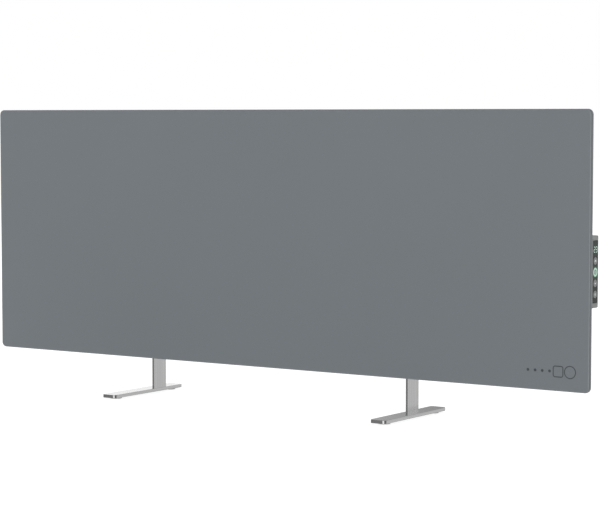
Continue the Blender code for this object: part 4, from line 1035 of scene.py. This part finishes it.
def make_panel_marks(finish):
    """Plain printed shapes in the panel's lower right corner: four dots, a square and a ring."""
    shape = bmesh.new()
    ring = circle(RING_MARK_X, MARK_Z, RING_MARK_DIAMETER - MARK_LINE, RING_MARK_STEPS)
    strip(shape, ring, MARK_LINE, closed=True)
    square = rounded_outline(SQUARE_MARK_SIZE, SQUARE_MARK_SIZE, SQUARE_MARK_CORNER, SQUARE_MARK_STEPS)
    strip(shape, [(u + SQUARE_MARK_X, v + MARK_Z) for u, v in square], MARK_LINE, closed=True)
    for index in range(DOT_MARKS):
        dot = circle(DOT_MARK_X + index * DOT_MARK_PITCH, MARK_Z, DOT_MARK_DIAMETER, DOT_MARK_STEPS)
        shape.faces.new([shape.verts.new((u, v, 0)) for u, v in dot])
    raise_flat(shape, MARK_THICKNESS, (1, 0, 0), (0, 0, 1), (0, -1, 0), (0, FACE_Y, 0))
    place("panel_marks", shape, finish)


# Camera, world, floor and lamps


def make_camera():
    """Camera at the fitted place."""
    data = bpy.data.cameras.new("camera")
    data.lens = CAMERA_LENS
    data.sensor_width = CAMERA_SENSOR
    camera = bpy.data.objects.new("camera", data)
    camera.location = CAMERA_PLACE
    camera.rotation_euler = (math.radians(90 - CAMERA_DROP), 0, math.radians(CAMERA_YAW))
    bpy.context.collection.objects.link(camera)
    bpy.context.scene.camera = camera


def studio_cards(tree, parts):
    """Level of the cards round the object in a direction."""
    turn = maths(tree, "ARCTAN2", maths(tree, "MULTIPLY", parts["X"], -1.0), parts["Y"])
    ramp = node(tree, "ValToRGB", {"Fac": ranged(tree, turn, 0.0, 1.0, source=(-math.pi, math.pi))})
    stops = ramp.color_ramp.elements
    for angle, _ in STUDIO_ROUND[1:-1]:
        stops.new((angle + 180) / 360)
    for angle, level in STUDIO_ROUND:
        nearest = min(stops, key=lambda stop: abs(stop.position - (angle + 180) / 360))
        nearest.color = grey(level / STUDIO_PEAK)
    return maths(tree, "MULTIPLY", ramp.outputs["Color"], STUDIO_PEAK)


def make_world():
    """White behind the object; metal sees a studio of white and dark cards, matt faces an even sky."""
    world = bpy.data.worlds.new("studio")
    bpy.context.scene.world = world
    world.use_nodes = True
    tree = world.node_tree
    tree.nodes.clear()
    direction = node(tree, "TexCoord").outputs["Generated"]
    parts = node(tree, "SeparateXYZ", {0: direction}).outputs
    overhead = ranged(tree, parts["Z"], 0.0, 1.0, source=OVERHEAD_RISE)
    under = ranged(tree, parts["Z"], 1.0, 0.0, source=UNDER_RISE)
    upper = blended(tree, overhead, studio_cards(tree, parts), OVERHEAD_LEVEL)
    around = blended(tree, under, upper, UNDER_LEVEL)
    sky = ranged(tree, parts["Z"], SKY_LOW, SKY_HIGH, source=(0.0, 1.0))
    path = node(tree, "LightPath").outputs
    lit = blended(tree, path["Is Glossy Ray"], sky, around)
    through = maths(tree, "MAXIMUM", path["Is Camera Ray"], path["Is Transmission Ray"])
    level = blended(tree, through, lit, 1.0)
    background = node(tree, "Background", {"Color": grey(1), "Strength": level})
    output = node(tree, "OutputWorld")
    tree.links.new(background.outputs[0], output.inputs["Surface"])


def make_floor():
    """Pale floor that stays white to the camera but keeps the object's soft shadow."""
    shape = bmesh.new()
    bmesh.ops.create_grid(shape, x_segments=1, y_segments=1, size=FLOOR_REACH)
    mesh = mesh_from(shape, "floor")
    made = bpy.data.materials.new("pale_floor")
    made.use_nodes = True
    tree = made.node_tree
    tree.nodes.clear()
    matt = node(tree, "BsdfDiffuse", {"Color": grey(FLOOR_LEVEL)})
    seen_matt = node(tree, "BsdfDiffuse", {"Color": grey(SEEN_FLOOR_LEVEL)})
    glow = node(tree, "Emission", {"Color": grey(1), "Strength": SEEN_FLOOR_GLOW})
    seen = node(tree, "AddShader", {0: seen_matt.outputs[0], 1: glow.outputs[0]})
    path = node(tree, "LightPath").outputs
    mixed = node(tree, "MixShader", {0: path["Is Camera Ray"], 1: matt.outputs[0], 2: seen.outputs[0]})
    output = node(tree, "OutputMaterial")
    tree.links.new(mixed.outputs[0], output.inputs["Surface"])
    mesh.materials.append(made)
    floor = bpy.data.objects.new("floor", mesh)
    floor.visible_glossy = False
    bpy.context.collection.objects.link(floor)


def make_lamp(name, position, size, power):
    """Soft square lamp aimed at the middle of the heater."""
    data = bpy.data.lights.new(name, "AREA")
    data.size = size
    data.energy = power
    lamp = bpy.data.objects.new(name, data)
    lamp.location = position
    aim = Vector((0, 0, MIDDLE_Z)) - Vector(position)
    lamp.rotation_euler = aim.to_track_quat("-Z", "Y").to_euler()
    lamp.visible_glossy = False
    bpy.context.collection.objects.link(lamp)


# Materials by the record's slots

ring_y, ring_z = key_middle("key_power").yz
display_z = middle_of("display_module")[2]
lens_glows = (
    ((LENS_FACE_X, ring_y, ring_z), RING_GLOW_REACH, RING_GLOW_POWER),
    ((LENS_FACE_X, ring_y, display_z), DISPLAY_GLOW_REACH, DISPLAY_GLOW_POWER),
)
finishes = {
    "front_paint": powder_coat("front_powder_coat", FRONT_GREY, 0.40),
    "cover_paint": powder_coat("cover_powder_coat", COVER_GREY, 0.56),
    "satin_steel": brushed_metal("satin_steel_bar", (0.80, 0.80, 0.80), 0.16, along="Y"),
    "zinc": plated_metal("zinc_plate", (0.66, 0.67, 0.69), 0.32),
    "aluminium": brushed_metal("extruded_aluminium", (0.78, 0.78, 0.79), 0.36, along="X"),
    "housing_plastic": moulded_plastic("grey_moulding", (0.380, 0.400, 0.390), 0.52),
    "lens_plastic": dark_lens("dark_lens", lens_glows),
    "key_plastic": moulded_plastic(
        "key_moulding", (0.335, 0.345, 0.345), 0.36, grain=5200.0, depth=0.00001),
    "light_guide": glowing("lit_ring", RING_GREEN, 0.52),
    "black_plastic": moulded_plastic("black_moulding", (0.025, 0.025, 0.026), 0.48),
    "board": moulded_plastic("solder_mask", (0.025, 0.13, 0.065), 0.30, grain=700.0),
    "ceramic": moulded_plastic("steatite", (0.78, 0.76, 0.70), 0.55, grain=2400.0),
    "block_plastic": moulded_plastic("cream_moulding", (0.76, 0.75, 0.70), 0.42),
    "rubber": moulded_plastic(
        "rubber_black", (0.022, 0.022, 0.023), 0.78, grain=1800.0, depth=0.00006),
    "pad_rubber": moulded_plastic("pale_silicone", (0.72, 0.73, 0.72), 0.50, grain=1500.0),
}
upright_steel = brushed_metal("satin_steel_upright", (0.78, 0.78, 0.78), 0.16, along="Z")
mark_print = moulded_plastic("mark_print", (0.055, 0.062, 0.066), 0.55)
digit_lit = glowing("lit_digit", DIGIT_GREEN, 0.42)
signs_lit = {
    "key_up": glowing("lit_sign", LIT_WHITE, 0.62),
    "key_power": glowing("green_sign", LIT_GREEN, 0.18),
    "key_down": glowing("violet_sign", LIT_VIOLET, 0.40),
    "key_menu": glowing("dim_sign", LIT_WHITE, 0.32),
}

for name, part in frame["nodes"].items():
    for holder in part.material_slots:
        holder.material = finishes[SLOTS[name]]

# Scene

make_camera()
make_world()
make_floor()
for name, (position, size, power) in LAMPS.items():
    make_lamp(name, position, size, power)

make_front_panel(finishes["front_paint"])
make_rear_cover(finishes["cover_paint"])
make_feet(finishes["satin_steel"])
make_welds(upright_steel)
for side in SIDES:
    refine(side + "_upright", upright_steel, UPRIGHT_EDGE, UPRIGHT_EDGE_STEPS)
    for end in ("front", "rear"):
        refine(side + "_pad_" + end, finishes["pad_rubber"], PAD_EDGE)
refine("control_housing", finishes["housing_plastic"], HOUSING_EDGE, sharp=HOUSING_SHARP_ANGLE)
refine("control_lens", finishes["lens_plastic"], LENS_EDGE)
make_screws(finishes["zinc"])
make_cable_entry(finishes["rubber"])
make_keys(finishes["key_plastic"])
make_power_ring(finishes["light_guide"])
make_signs(signs_lit)
make_digits(digit_lit)
make_panel_marks(mark_print)

bpy.context.scene.view_settings.view_transform = "Standard"
